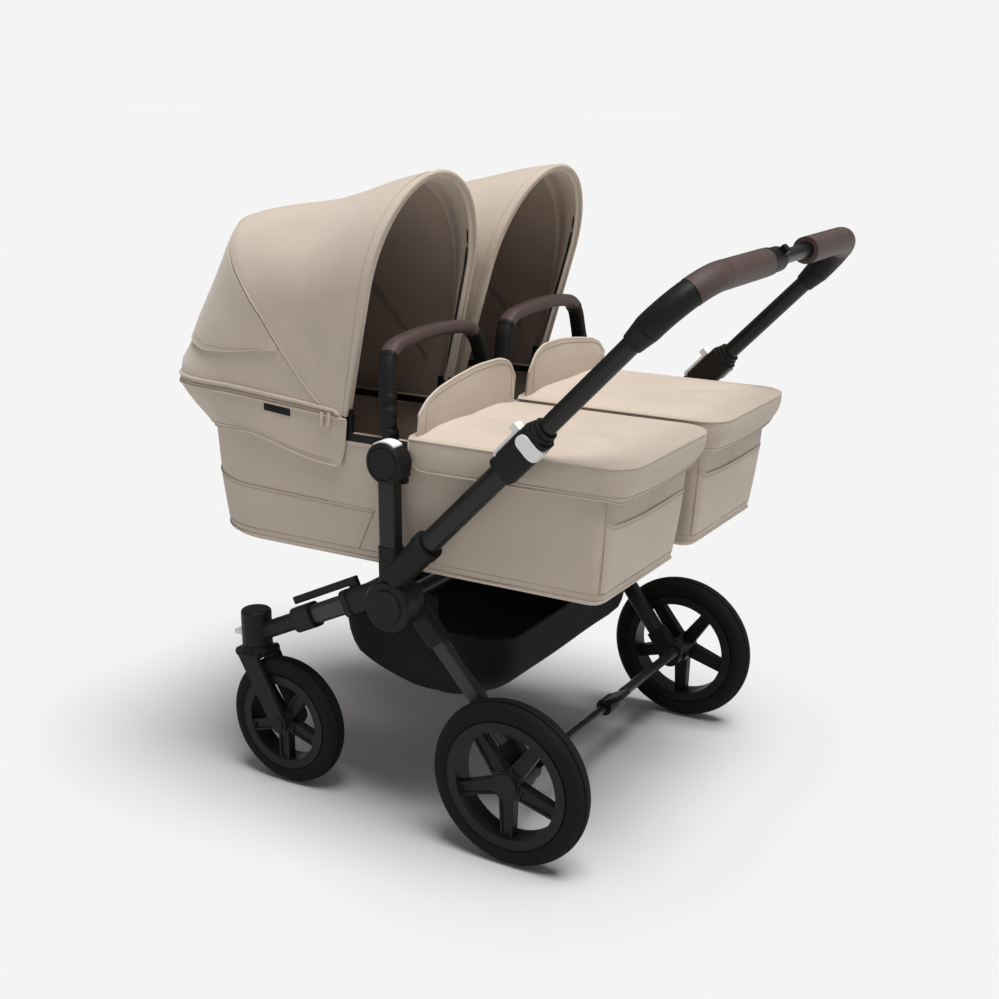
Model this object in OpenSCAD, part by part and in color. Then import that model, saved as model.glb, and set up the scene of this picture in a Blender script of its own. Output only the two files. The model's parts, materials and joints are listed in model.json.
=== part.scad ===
// Side by side double stroller with two bassinets.
// Millimetres. X points to the left side, Y to the rear, Z up.
// The origin is on the floor, under the hub axis, on the centre plane.

/* [Side frame] */
// Height of the hub axis above the floor
hub_z = 421; // [415:1:427]
// Distance of the side frame's middle plane from the centre plane
side_x = 360; // [358:1:364]
// Radius of the hub disc
hub_r = 45; // [43:1:47]
// Width of the hub disc
hub_w = 36; // [34:1:38]
// Radius of the round cap on the hub bolt
cap_r = 30; // [26:1:33]
// Radius of the hub bolt's shaft
bolt_r = 9; // [7:0.5:10]
// Height of the post socket above the hub axis
stub_h = 102; // [95:1:115]
// Depth of the seat post, front to back
post_d = 34; // [30:1:36]
// Width of the seat post, side to side
post_w = 26; // [22:1:27]
// Height of the seat post's head above the hub axis
head_rise = 245; // [240:1:250]
// Radius of the seat post's head
head_r = 35; // [33:1:36]
// Width of the seat post's head
head_w = 32; // [30:1:33]

/* [Handlebar] */
// Slope of the handlebar from the floor, in degrees
handle_tilt = 45.5; // [44:0.5:47]
// Distance of the handle tube's axis from the hub axis
handle_offset = 29; // [26:1:32]
// Outer radius of the lower handle tube
lower_r = 19; // [18:0.5:19.5]
// Outer radius of the sliding handle arm
arm_r = 15; // [14:0.5:15.5]
// Place of the handle socket's mouth along the tube, from the hub
socket_s = 137; // [130:1:145]
// Place of the clamp's lower end along the tube
clamp_s = 337; // [320:1:350]
// Length of the clamp's block
clamp_l = 91; // [85:1:100]
// Width of the clamp, side to side
clamp_w = 40; // [38:1:42]
// Depth of the clamp across the tube
clamp_d = 50; // [46:1:54]
// Place of the crossbar along the tube at mid height
bar_s = 770; // [760:1:785]
// Bend radius of the handle's corners
bend_r = 95; // [90:1:100]
// Outer radius of the leather grip
grip_r = 22.5; // [20:0.5:24]
// Half width of the bare stretch between the grips
grip_end_x = 95; // [90:1:110]
// Radius of the telescoping crossbar tube
bar_r = 12; // [10:0.5:13]

/* [Front wheels] */
// Distance of the caster axis from the centre plane
caster_x = 298; // [294:1:302]
// Distance of the caster axis ahead of the hub axis
caster_y = 349; // [344:1:354]
// Distance of the front axle behind the caster axis
trail = 67; // [63:1:70]
// Outer radius of the front tyre
front_r = 121.6; // [119:0.2:123]
// Section radius of the front tyre
front_section = 20.5; // [19:0.5:21]
// Radius of the front rim's opening
front_open_r = 74; // [70:1:78]
// Radius of the caster housing
caster_r = 28; // [26:1:29]
// Height of the caster housing's seam
caster_z = 260; // [258:1:262]
// Height of the caster housing
caster_h = 66; // [65:1:72]

/* [Rear wheels] */
// Distance of the rear wheel's middle plane from the centre plane
rear_x = 345; // [344:1:348]
// Distance of the rear axle behind the hub axis
axle_y = 221; // [216:1:226]
// Outer radius of the rear tyre
rear_r = 146.3; // [144:0.1:148]
// Section radius of the rear tyre
rear_section = 22; // [20:0.5:22.5]
// Radius of the rear rim's opening
rear_open_r = 95; // [90:1:99]
// Number of spokes in each wheel
spoke_count = 5; // [4:1:7]

/* [Bassinets] */
// Height of the bassinet's floor
tub_z = 465; // [460:1:468]
// Height of the top of the bassinet's wall
rim_z = 682; // [678:1:686]
// Half width of the bassinet at its floor
floor_w = 138; // [132:1:142]
// Half width of the bassinet at its rim
rim_w = 157; // [154:1:157]
// Head end of the floor, ahead of the hub axis
floor_head = 457; // [450:1:462]
// Foot end of the floor, behind the hub axis
floor_foot = 364; // [358:1:370]
// Reach of the tub's foot wall at the rim
wall_foot = 388; // [384:1:392]
// Radius of the tub's foot corners at its floor
tub_corner = 18; // [12:1:24]
// Radius of the tub's foot corners at the rim
wall_corner = 45; // [42:1:46]
// Head end of the rim, ahead of the hub axis
rim_head = 474; // [470:1:480]
// Foot end of the rim, behind the hub axis
rim_foot = 408; // [402:1:412]
// Corner radius of the head end, as a share of the half width
head_corner_share = 0.98; // [0.96:0.01:0.99]
// Corner radius of the foot end
foot_corner = 60; // [58:1:62]
// Thickness of the bassinet's wall
tub_t = 4; // [3:0.5:6]
// Thickness of the mattress
mattress_t = 28; // [20:1:40]

/* [Hoods and covers] */
// Distance of the hood hinge ahead of the hub axis
hood_y = 108; // [104:1:112]
// Height of the hood hinge
hood_z = 720; // [718:1:724]
// Length of the front bow, from hinge to top
rim_bow_r = 405; // [400:1:410]
// Length of the middle bow, from hinge to top
mid_bow_r = 429; // [422:1:434]
// Length of the hood's base, from hinge to front
base_r = 452; // [448:1:456]
// Angle of the left hood's front bow, from the rear, in degrees
left_bow_a = 77.5; // [76:0.1:80]
// Angle of the right hood's front bow, from the rear, in degrees
right_bow_a = 73; // [72:0.1:76]
// Angle of the middle bow, in degrees
mid_bow_a = 134; // [130:1:138]
// Angle of the hood's base, in degrees
base_a = 178; // [177:0.5:179]
// Half width of the hood
hood_w = 163; // [161:0.5:164]
// Height of the hood's straight sides, as a share of the bow's length
side_share = 0.55; // [0.52:0.01:0.6]
// Thickness of the hood cloth
cloth_t = 3; // [2:0.5:4]
// Front edge of the foot cover, behind the hub axis
apron_y = 24; // [22:1:30]
// Height of the foot cover's hem
apron_hem_z = 645; // [640:1:655]
// Height of the raised wind flap
flap_h = 84; // [70:1:95]

/* [Carry handles] */
// Length of the carry handle's straight legs, from pin to corner
carry_leg = 100; // [96:1:106]
// Width of the carry handle's section
carry_w = 22; // [20:0.5:22]
// Depth of the carry handle's section, front to back
carry_d = 30; // [26:1:32]
// Radius of the carry handle's corners
carry_bend_r = 50; // [46:1:54]
// Inward slope of the carry handle's legs, in degrees
carry_tilt = 12.5; // [11:0.5:14]
// Forward lean of the left carry handle, in degrees
left_lean = 9.5; // [6:0.1:12]
// Forward lean of the right carry handle, in degrees
right_lean = 2.7; // [0:0.1:5]

/* [Basket] */
// Half width of the basket's mouth
basket_w = 255; // [245:1:258]
// Height of the basket's floor
basket_z = 205; // [198:1:215]
// Height of the basket's hem
basket_top_z = 345; // [335:1:350]

/* [Hidden] */
$fn = 64;

// Clearances: a fixed seat, a turning fit, two parts that pass, and the overrun of a cut
fit = 0.1;
run = 0.05;
gap = 0.4;
over = 1;
// Thickness of the slices that a hull joins, and the facets of a hulled corner
leaf = 0.5;
hull_fn = 32;

// Colours
black = "#2b2928";
gunmetal = "#6d645d";
rubber = "#1e1e1f";
leather = "#57443e";
cloth = "#c3b6a8";
dark_cloth = "#2e2c2b";
white = "#eceae8";
steel = "#9a9a9a";

// Side frame
hub_in = side_x - hub_w / 2;
hub_out = side_x + hub_w / 2;
edge = 4;
cap_depth = 2;
cap_t = 5;
lug_w = 12;
lug_r = 36;
front_lug_out = hub_in - gap;
front_lug_in = front_lug_out - lug_w;
rear_lug_out = front_lug_in - gap;
rear_lug_in = rear_lug_out - lug_w;
bolt_end = rear_lug_in - gap;
post_corner = 8;
post_seat = 30;
post_wall = 2;
head_z = hub_z + head_rise;
head_in = hub_out - head_w;
post_x = hub_out - (head_w + head_w - post_w) / 2;
post_top_z = head_z - head_r / 2;
head_ring_r = 26;
head_ring_t = 1.5;
ledge_t = 12;
ledge_d = 40;
ledge_z = 640;

// Seat release button: an arc let into the top of the head
button_proud = 2;
button_t = 8;
button_r = head_r + button_proud;
button_in_r = button_r - button_t;
button_w = 24;
button_d = 40;
button_travel = 4;

// Centre post and cross tubes
centre_t = 11;
centre_sleeve_r = 19;
centre_sleeve_w = 32;
cross_r = 14;
cross_inner_r = 11;
sleeve_in_x = 60;
inner_half = 200;
front_bar_r = 9;
front_bar_l = 232;

// Handlebar
socket_wall = 5;
socket_r = lower_r + socket_wall;
socket_root = 40;
socket_ring = 2.5;
socket_ring_l = 15;
tube_root = 84;
collar_l = 8;
clamp_corner = 12;
clamp_seat = 45;
collar_wall = 3;
collar_r = lower_r + collar_wall;
collar_step = 2;
arm_root = 285;
bend_s = bar_s - bend_r;
cover_l = 128;
cover_root = bar_s - cover_l;
cover_lip = 2.5;
cover_wall = 7;
cover_r0 = arm_r + cover_lip;
cover_r = arm_r + cover_wall;
cover_a = 48;
seam_a = 0.5;
bar_half = 190;
bar_bore_x = 215;
clip_l = 56;
clip_r = 20;
clip_lug = 14;
clip_ring_l = 16;

// Clamp lever and fold button
lever_w = 20;
lever_t = 5;
lever_l = 62;
lever_s = 12;
lever_pin_r = 4;
lever_tab_h = 9;
lever_tab_l = 12;
pill_l = 54;
pill_w = 24;
pill_back = 9;
pill_wrap = 22;
pill_slack = 3;
pill_t = 4.5;
pill_depth = 4.4;
pill_proud = 3;
pill_s = 20;

// Front leg: a line from above the hub to the caster axis
front_root_x = 327;
front_rise = 24;
front_drop = 168;
front_root = [front_root_x, 0, hub_z + front_rise];
front_end = [caster_x, -caster_y, hub_z + front_rise - front_drop];
front_len = norm(front_end - front_root);
front_pitch = atan2(front_drop, caster_y);
front_d = 36;
front_w = 24;
front_wall = 5;
front_corner = 11;
front_block_s = 48;
front_collar_s = 139;
front_join_s = 225;
front_seat = 40;
front_ring_l = 14;
front_ring = 3;
neck_l = 62;
neck_d = 36;
arm_d = 32;
arm_w = 24;
front_bar = front_root + (front_end - front_root) * front_bar_l / front_len;
front_bar_end = front_bar[0] - front_w;
front_boss_l = 10;
strut_rise = 34;
strut_in = 7;
strut_d = 14;
strut_w = 9;
strut_corner = 3;
strut_s = 104;
strut_l = 164;
strut_foot = 20;

// Caster
caster_dome = 6;
stem_r = 9;
stem_h = 62;
crown_h = 21;
crown_low = 6;
neck_step = 1;
front_lobe_y = 27;
front_lobe_z = 243;
front_lobe_r = 9;
rear_lobe_y = 27;
rear_lobe_z = 250;
rear_lobe_r = 7;
lobe_w = 44;
crown_w = 66;
crown_d = 46;
crown_corner = 12;
blade_t = 8;
blade_gap = 24.5;
blade_tip_r = 17;
blade_top_z = caster_z - gap - crown_h;
front_axle_r = 6;
front_axle_head_r = 11;
front_axle_head_t = 4;
front_hub_r = 21;
front_hub_half = 23.5;
rim_bed = 7;
front_rim_r = front_r - 2 * front_section + rim_bed;
lock_w = 18;
lock_h = 16;
lock_l = 24;
lock_t = 8;
lock_z = 15;
lock_pin_r = 5;
lock_in = 12;

// Rear leg
rear_root_x = 313;
rear_end_x = 292;
axle_z = rear_r;
rear_root = [rear_root_x, 0, hub_z];
rear_end = [rear_end_x, axle_y, axle_z];
rear_len = norm(rear_end - rear_root);
rear_d = 34;
rear_w = 20;
rear_corner = 9;
rear_wall = 4;
rear_block_s = 27;
rear_collar_s = 96;
rear_seat = 34;
rear_foot_s = 58;
housing_r = 22;
housing_w = 24;
axle_r = 8;
axle_reach = 12;
axle_end_x = rear_x + axle_reach;
axle_seat = 18;
rear_hub_r = 26;
rear_hub_gap = 3;
rear_hub_reach = 18;
rear_hub_in = rear_end_x + housing_w / 2 + rear_hub_gap;
rear_hub_out = rear_x + rear_hub_reach;
rear_rim_r = rear_r - 2 * rear_section + rim_bed;

// Wheel details
rim_lip = 3;
rim_lip_w = 4;
rim_half_share = 0.78;
groove_w = 2.5;
groove_depth = 2;
groove_share = 0.4;
spoke_root_share = 1.1;
spoke_tip_w = 22;
spoke_t = 18;
spoke_step = 2.5;
spoke_rib = 4;
spoke_recess = 3;
hub_ring = 4;
hub_cap_t = 3;

// Brake
brake_back = 20;
brake_rise = 21;
brake_y = axle_y + brake_back;
brake_z = axle_z + brake_rise;
brake_r = 7;
brake_boss_r = 13;
brake_boss_w = 28;
brake_in = 5;
brake_half = rear_end_x - brake_in;
sleeve_r = 9;
pedal_x = 30;
pedal_w = 46;
pedal_l = 44;
pedal_t = 9;
pedal_drop = 2;
pedal_ring_r = 15;
pedal_ring_w = 34;
pedal_tilt = 28;

// Bassinet
bass_x = (head_in + centre_t / 2) / 2;
edge_round = 16;
hoop_h = 12;
hoop_w = 14;
hoop_z = rim_z + hoop_h;
bracket_d = 46;
bracket_out = head_in - gap - bass_x;
ear_t = 7;
ear_d = 30;
ear_r = 12;
carry_pin_r = 5;
carry_pin_rise = 14;
carry_pin_z = hoop_z + carry_pin_rise;
hood_pin_r = 5;
boss_r = 12;
boss_w = 7;
mattress_gap = 6;
mattress_round = 12;

// Hood
foot_share = 0.04;
arch_steps = 20;
leg_steps = 4;
front_rows = 7;
back_rows = 5;
skirt_rows = 4;
sag_share = 0.141;
back_sag_share = 0.035;
lip_a = 170;
lip_r = 421;
lip_rows = 3;
lip_step = (base_a - lip_a) / lip_rows;
lip_power = 1.5;
seam_gap_a = 0.06;
skirt_side = 86;
skirt_front = 72;
skirt_in = 2;
skirt_clear = 7;
skirt_power = 1.35;
bow_r = 3;
bow_sides = 10;
bow_in = 0.4;
bow_step = 0.5;

// Foot cover
apron_out = gap + tub_t;
apron_top = 12;
apron_crown = 8;
apron_round = 8;
apron_corner = 28;
crown_inset = 60;
flap_inset = 4;
flap_w = rim_w - flap_inset;
flap_t = 6;
flap_lean = 6;
flap_corner = 62;
flap_in = 6;
flap_foot = 1;
apron_tuck = 20;
apron_hem_corner = 25;

// Carry handle
carry_corner = 9;
carry_eye_r = 13;
carry_eye_in = rim_w + gap;
carry_eye_out = bracket_out;
carry_x = (carry_eye_in + carry_eye_out) / 2;
neck_w = 22;
neck_h = 34;
carry_y = 14;
carry_steps = 6;
carry_round = 4;
carry_top_a = 7.5;

// Basket
basket_t = 3;
basket_front = -front_bar[1] - front_bar_r - gap;
basket_rear = 158;
basket_floor_w = 0.82;
basket_floor_l = 0.4;
basket_mid_w = 0.97;
basket_mid_l = 0.93;
basket_mid_z = 262;
basket_corner = 50;
hanger_w = 44;

// Helper shapes

// Mirrors the left side's part to the right side where side is -1.
module on_side(side) {
    mirror([side < 0 ? 1 : 0, 0, 0]) children();
}

// A cylinder along X.
module x_rod(r, x0, x1) {
    translate([x0, 0, 0])
        rotate([0, 90, 0])
            cylinder(r = r, h = x1 - x0);
}

// A ring along X.
module x_tube(r, bore, x0, x1) {
    difference() {
        x_rod(r, x0, x1);
        x_rod(bore, x0 - over, x1 + over);
    }
}

// A plate along X from an outline in Y and Z.
module x_plate(x0, x1) {
    translate([x0, 0, 0])
        rotate([90, 0, 90])
            linear_extrude(x1 - x0) children();
}

// A disc along X with a chamfered outer edge.
module x_disc(r, x0, x1, chamfer) {
    x_rod(r, x0, x1 - chamfer);
    translate([x1 - chamfer, 0, 0])
        rotate([0, 90, 0])
            cylinder(r1 = r, r2 = r - chamfer, h = chamfer);
}

// A rectangle with round corners.
module round_rect(w, d, r) {
    square([w - 2 * r, d], center = true);
    square([w, d - 2 * r], center = true);
    for (x = [-1, 1], y = [-1, 1])
        translate([x * (w / 2 - r), y * (d / 2 - r)]) circle(r);
}

// Local Z runs from one point to another, local X stays in the upright plane.
module aim(p0, p1) {
    d = p1 - p0;
    translate(p0)
        rotate([0, acos(d[2] / norm(d)), atan2(d[1], d[0])])
            children();
}

// An oval bar from s0 to s1 along the local Z axis.
module oval_bar(depth, width, corner, s0, s1) {
    translate([0, 0, s0])
        linear_extrude(s1 - s0) round_rect(depth, width, corner);
}

// Local Z runs up the left handle tube, local Y points to the rear and down.
module along_handle() {
    translate([side_x, 0, hub_z])
        rotate([handle_tilt - 90, 0, 0])
            translate([0, -handle_offset, 0]) children();
}

module at_hub() {
    translate([0, 0, hub_z]) children();
}

module at_head() {
    translate([0, 0, head_z]) children();
}

// The handle's corner as a swept bar, from angle a0 to angle a1.
module bend(r, a0, a1) {
    translate([-bend_r, 0, bend_s])
        rotate([90, 0, 0])
            rotate([0, 0, a0])
                rotate_extrude(angle = a1 - a0)
                    translate([bend_r, 0]) circle(r);
}

// A closed sheet between an outer and an inner grid of points.
module sheet(outer, inner) {
    m = len(outer);
    n = len(outer[0]);
    half = m * n;
    skin = [for (i = [0 : m - 2], j = [0 : n - 2])
        let (a = i * n + j, b = a + 1, c = a + n, d = c + 1)
        each [[a, b, c], [b, d, c]]];
    lining = [for (f = skin) [f[0] + half, f[2] + half, f[1] + half]];
    rim = concat(
        [for (j = [0 : n - 2]) [j + 1, j]],
        [for (i = [0 : m - 2]) [i * n, (i + 1) * n]],
        [for (j = [0 : n - 2]) [(m - 1) * n + j, (m - 1) * n + j + 1]],
        [for (i = [0 : m - 2]) [(i + 2) * n - 1, (i + 1) * n - 1]]
    );
    edges = [for (e = rim) each [[e[0], e[1], e[1] + half], [e[0], e[1] + half, e[0] + half]]];
    points = concat([for (row = outer) each row], [for (row = inner) each row]);
    polyhedron(points, concat(skin, lining, edges));
}

// Side frame

module hub_yoke(side) {
    color(black)
        on_side(side)
            difference() {
                union() {
                    at_hub() x_disc(hub_r, hub_in, hub_out, edge);
                    translate([post_x, 0, hub_z])
                        linear_extrude(stub_h)
                            round_rect(post_w + 2 * post_wall, post_d + 2 * post_wall, post_corner);
                    along_handle()
                        translate([0, 0, socket_root])
                            cylinder(r = socket_r, h = socket_s - socket_root);
                    along_handle()
                        translate([0, 0, socket_s - socket_ring_l])
                            cylinder(r = socket_r + socket_ring, h = socket_ring_l);
                }
                at_hub() x_rod(bolt_r + run, hub_in - over, hub_out + over);
                at_hub() x_rod(cap_r + fit, hub_out - cap_depth, hub_out + over);
                translate([post_x, 0, hub_z + stub_h - post_seat])
                    linear_extrude(post_seat + over)
                        round_rect(post_w + 2 * fit, post_d + 2 * fit, post_corner - post_wall);
                along_handle()
                    translate([0, 0, tube_root])
                        cylinder(r = lower_r + fit, h = socket_s - tube_root + over);
            }
}

module pivot_bolts() {
    color(black)
        for (side = [1, -1])
            on_side(side)
                at_hub() {
                    x_disc(cap_r, hub_out - cap_depth, hub_out - cap_depth + cap_t, edge / 2);
                    x_rod(bolt_r, bolt_end, hub_out - cap_depth);
                }
}

module seat_posts() {
    color(black)
        for (side = [1, -1])
            on_side(side)
                translate([post_x, 0, hub_z + stub_h - post_seat + fit])
                    linear_extrude(post_top_z - hub_z - stub_h + post_seat - 2 * fit)
                        round_rect(post_w, post_d, post_corner - post_wall);
}

// The arc of the release button, grown by a clearance and deepened by its travel.
module button_arc(side, grow, deep) {
    on_side(side)
        at_head()
            intersection() {
                x_tube(
                    button_r + grow,
                    button_in_r - grow - deep,
                    head_in + (head_w - button_w) / 2 - grow,
                    hub_out - (head_w - button_w) / 2 + grow
                );
                translate([head_in, -button_d / 2 - grow, 0])
                    cube([head_w, button_d + 2 * grow, button_r + over]);
            }
}

module post_heads() {
    color(black)
        for (side = [1, -1])
            difference() {
                on_side(side)
                    union() {
                        at_head() x_disc(head_r, head_in, hub_out, edge);
                        translate([head_in - bracket_ledge(), -ledge_d / 2, ledge_z - gap - ledge_t])
                            cube([bracket_ledge() + over, ledge_d, ledge_t]);
                    }
                on_side(side)
                    translate([post_x, 0, hub_z + stub_h])
                        linear_extrude(post_top_z - hub_z - stub_h + fit)
                            round_rect(post_w + 2 * fit, post_d + 2 * fit, post_corner - post_wall);
                on_side(side)
                    at_head()
                        x_tube(
                            head_ring_r + head_ring_t,
                            head_ring_r,
                            hub_out - head_ring_t,
                            hub_out + over
                        );
                button_arc(side, gap, button_travel);
            }
}

// Reach of the ledge under the bassinet's bracket.
function bracket_ledge() = bracket_out - rim_w;

module seat_button(side) {
    color(white) button_arc(side, 0, 0);
}

module centre_post() {
    color(black)
        difference() {
            union() {
                at_hub() x_rod(centre_sleeve_r, -centre_sleeve_w / 2, centre_sleeve_w / 2);
                x_plate(-centre_t / 2, centre_t / 2)
                    translate([-post_d / 2, hub_z]) square([post_d, head_rise]);
                at_head() x_rod(head_r - edge, -centre_t / 2, centre_t / 2);
                translate([0, 0, ledge_z - gap - ledge_t / 2])
                    cube([centre_t + 2 * bracket_ledge(), ledge_d, ledge_t], center = true);
            }
            at_hub() x_rod(cross_inner_r + fit, -centre_sleeve_w, centre_sleeve_w);
        }
}

module cross_tubes() {
    color(black) {
        for (side = [1, -1])
            on_side(side)
                at_hub() x_tube(cross_r, cross_inner_r + fit, sleeve_in_x, bolt_end);
        at_hub() x_rod(cross_inner_r, -inner_half, inner_half);
        translate([0, front_bar[1], front_bar[2]])
            x_rod(front_bar_r, -front_bar_end, front_bar_end);
    }
}

// Handlebar

module lower_handle_tubes() {
    color(black)
        for (side = [1, -1])
            on_side(side)
                along_handle()
                    translate([0, 0, tube_root + fit])
                        difference() {
                            tube_l = clamp_s + clamp_seat - tube_root - 2 * fit;
                            cylinder(r = lower_r, h = tube_l);
                            translate([0, 0, -over])
                                cylinder(r = arm_r + fit, h = tube_l + 2 * over);
                        }
}

// The lever's place on the clamp's upper face: local Z along the tube, local Y out of the face.
module at_lever(side) {
    on_side(side)
        along_handle()
            translate([0, -clamp_d / 2, clamp_s + lever_s])
                rotate([0, 0, 180]) children();
}

// Skin of the clamp's block, from a depth below its surface to a height above it.
module clamp_skin(depth, height) {
    difference() {
        round_rect(clamp_w + 2 * height, clamp_d + 2 * height, clamp_corner + height);
        round_rect(clamp_w - 2 * depth, clamp_d - 2 * depth, clamp_corner - depth);
    }
}

// The fold button's outline on the clamp's outer face.
module pill(grow) {
    hull_l = pill_l - pill_w;
    square([hull_l, pill_w + 2 * grow], center = true);
    for (y = [-1, 1])
        translate([y * hull_l / 2, 0]) circle(pill_w / 2 + grow);
}

// A stretch of the clamp's skin that follows the button's outline round the rear corner.
module pill_skin(grow, wrap, depth, height) {
    intersection() {
        translate([0, 0, clamp_s]) linear_extrude(clamp_l) clamp_skin(depth, height);
        translate([clamp_w / 2 - wrap, pill_back, clamp_s + clamp_l - pill_s])
            rotate([90, 0, 90])
                linear_extrude(wrap + 2 * height) pill(grow);
    }
}

module handle_clamp(side) {
    color(black)
        difference() {
            union() {
                on_side(side)
                    along_handle() {
                        translate([0, 0, clamp_s])
                            linear_extrude(clamp_l) round_rect(clamp_w, clamp_d, clamp_corner);
                        translate([0, 0, clamp_s + clamp_l])
                            cylinder(r = collar_r, h = collar_l);
                        translate([0, 0, clamp_s + clamp_l + collar_l])
                            cylinder(r = collar_r - collar_step, h = collar_l);
                    }
            }
            on_side(side)
                along_handle() {
                    translate([0, 0, clamp_s - over])
                        cylinder(r = lower_r + fit, h = clamp_seat + over);
                    translate([0, 0, clamp_s])
                        cylinder(r = arm_r + fit, h = clamp_l + 2 * collar_l + over);
                }
            at_lever(side) x_rod(lever_pin_r + gap, -clamp_w, clamp_w);
            on_side(side)
                along_handle() pill_skin(gap, pill_wrap + pill_slack, pill_depth, over);
        }
}

module clamp_lever(side) {
    color(white)
        at_lever(side) {
            x_rod(lever_pin_r, -lever_w / 2, lever_w / 2);
            translate([-lever_w / 2, gap, 0]) cube([lever_w, lever_t, lever_l]);
            translate([-lever_w / 2, gap, lever_l - lever_tab_l])
                cube([lever_w, lever_t + lever_tab_h, lever_tab_l]);
        }
}

module fold_button(side) {
    color(white)
        on_side(side)
            along_handle() pill_skin(0, pill_wrap, pill_t - pill_proud, pill_proud);
}

module handle_arm(side) {
    color(black)
        on_side(side)
            along_handle()
                difference() {
                    union() {
                        translate([0, 0, arm_root]) cylinder(r = arm_r, h = bend_s - arm_root);
                        bend(arm_r, 0, 90 + seam_a);
                        translate([0, 0, bar_s]) x_rod(arm_r, grip_end_x - side_x, -bend_r);
                    }
                    translate([0, 0, bar_s])
                        x_rod(bar_r + fit, grip_end_x - side_x - over, bar_bore_x - side_x);
                }
}

// A bent sleeve on the handle's corner, from angle a0 to angle a1.
module bent_sleeve(r, a0, a1) {
    translate([-bend_r, 0, bend_s])
        rotate([90, 0, 0])
            rotate([0, 0, a0])
                rotate_extrude(angle = a1 - a0)
                    translate([bend_r, 0])
                        difference() {
                            circle(r);
                            circle(arm_r + fit);
                        }
}

// The cover is a straight cone and a bent sleeve, with a seam between them.
module elbow_covers() {
    color(black)
        for (side = [1, -1])
            on_side(side)
                along_handle() {
                    translate([0, 0, cover_root])
                        difference() {
                            cylinder(r1 = cover_r0, r2 = cover_r, h = bend_s - cover_root);
                            translate([0, 0, -over])
                                cylinder(r = arm_r + fit, h = bend_s - cover_root + 2 * over);
                        }
                    bent_sleeve(cover_r, seam_a, cover_a);
                }
}

// The leather is a bent piece and a straight piece, with a seam between them.
module grip(side) {
    color(leather)
        on_side(side)
            along_handle() {
                bent_sleeve(grip_r, cover_a + seam_a, 90 - seam_a);
                translate([0, 0, bar_s]) x_tube(grip_r, arm_r + fit, grip_end_x - side_x, -bend_r);
            }
}

// The crossbar's axis, on the centre plane.
module at_crossbar() {
    along_handle() translate([-side_x, 0, bar_s]) children();
}

module crossbar_tube() {
    color(black) at_crossbar() x_rod(bar_r, -bar_half, bar_half);
}

module twist_clip() {
    color(black)
        at_crossbar() {
            x_tube(clip_r, bar_r + fit, grip_end_x - gap - clip_l, grip_end_x - gap);
            x_tube(
                clip_r + edge / 2,
                bar_r + fit,
                grip_end_x - gap - clip_ring_l,
                grip_end_x - gap
            );
            translate([grip_end_x - clip_l, -clip_lug / 2, bar_r + edge])
                cube([clip_ring_l, clip_lug, clip_r - bar_r + edge]);
        }
}

// Front legs and casters

module along_front() {
    aim(front_root, front_end) children();
}

module front_sockets() {
    color(black)
        for (side = [1, -1])
            on_side(side)
                difference() {
                    union() {
                        at_hub() x_rod(lug_r, front_lug_in, front_lug_out);
                        x_plate(front_lug_in, front_lug_out)
                            translate([0, front_root[2]])
                                rotate(180 + front_pitch)
                                    translate([0, -neck_d / 2]) square([neck_l, neck_d]);
                        along_front()
                            oval_bar(
                                front_d + 2 * front_wall,
                                front_w + front_wall,
                                front_corner,
                                front_block_s,
                                front_collar_s
                            );
                        along_front()
                            translate([-strut_rise, -strut_in, 0])
                                oval_bar(strut_d, strut_w, strut_corner, strut_s, strut_s + strut_l);
                        along_front()
                            translate([-strut_rise, -strut_in - strut_w / 2, strut_s])
                                cube([strut_rise, strut_w, strut_foot]);
                        along_front()
                            oval_bar(
                                front_d + 2 * front_wall + front_ring,
                                front_w + front_wall + front_ring,
                                front_corner,
                                front_collar_s - front_ring_l,
                                front_collar_s
                            );
                    }
                    at_hub() x_rod(bolt_r + run, front_lug_in - over, front_lug_out + over);
                    along_front()
                        oval_bar(
                            front_d + 2 * fit,
                            front_w + 2 * fit,
                            front_corner,
                            front_collar_s - front_seat,
                            front_collar_s + over
                        );
                }
}

module front_tubes() {
    color(gunmetal)
        for (side = [1, -1])
            on_side(side)
                along_front()
                    oval_bar(
                        front_d,
                        front_w,
                        front_corner,
                        front_collar_s - front_seat + fit,
                        front_join_s + front_seat - fit
                    );
}

module at_caster() {
    translate([caster_x, -caster_y, 0]) children();
}

// The collar that takes the lower end of the front tube.
module front_collar() {
    difference() {
        union() {
            along_front()
                oval_bar(
                    front_d + 2 * front_wall,
                    front_w + 2 * front_wall,
                    front_corner,
                    front_join_s,
                    front_join_s + front_seat + front_wall,
                    $fn = hull_fn
                );
            translate([0, front_bar[1], front_bar[2]])
                x_rod(front_bar_r + front_ring, front_bar_end, front_bar_end + front_boss_l, $fn = hull_fn);
        }
        along_front()
            oval_bar(
                front_d + 2 * fit,
                front_w + 2 * fit,
                front_corner,
                front_join_s - over,
                front_join_s + front_seat,
                $fn = hull_fn
            );
    }
}

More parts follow.
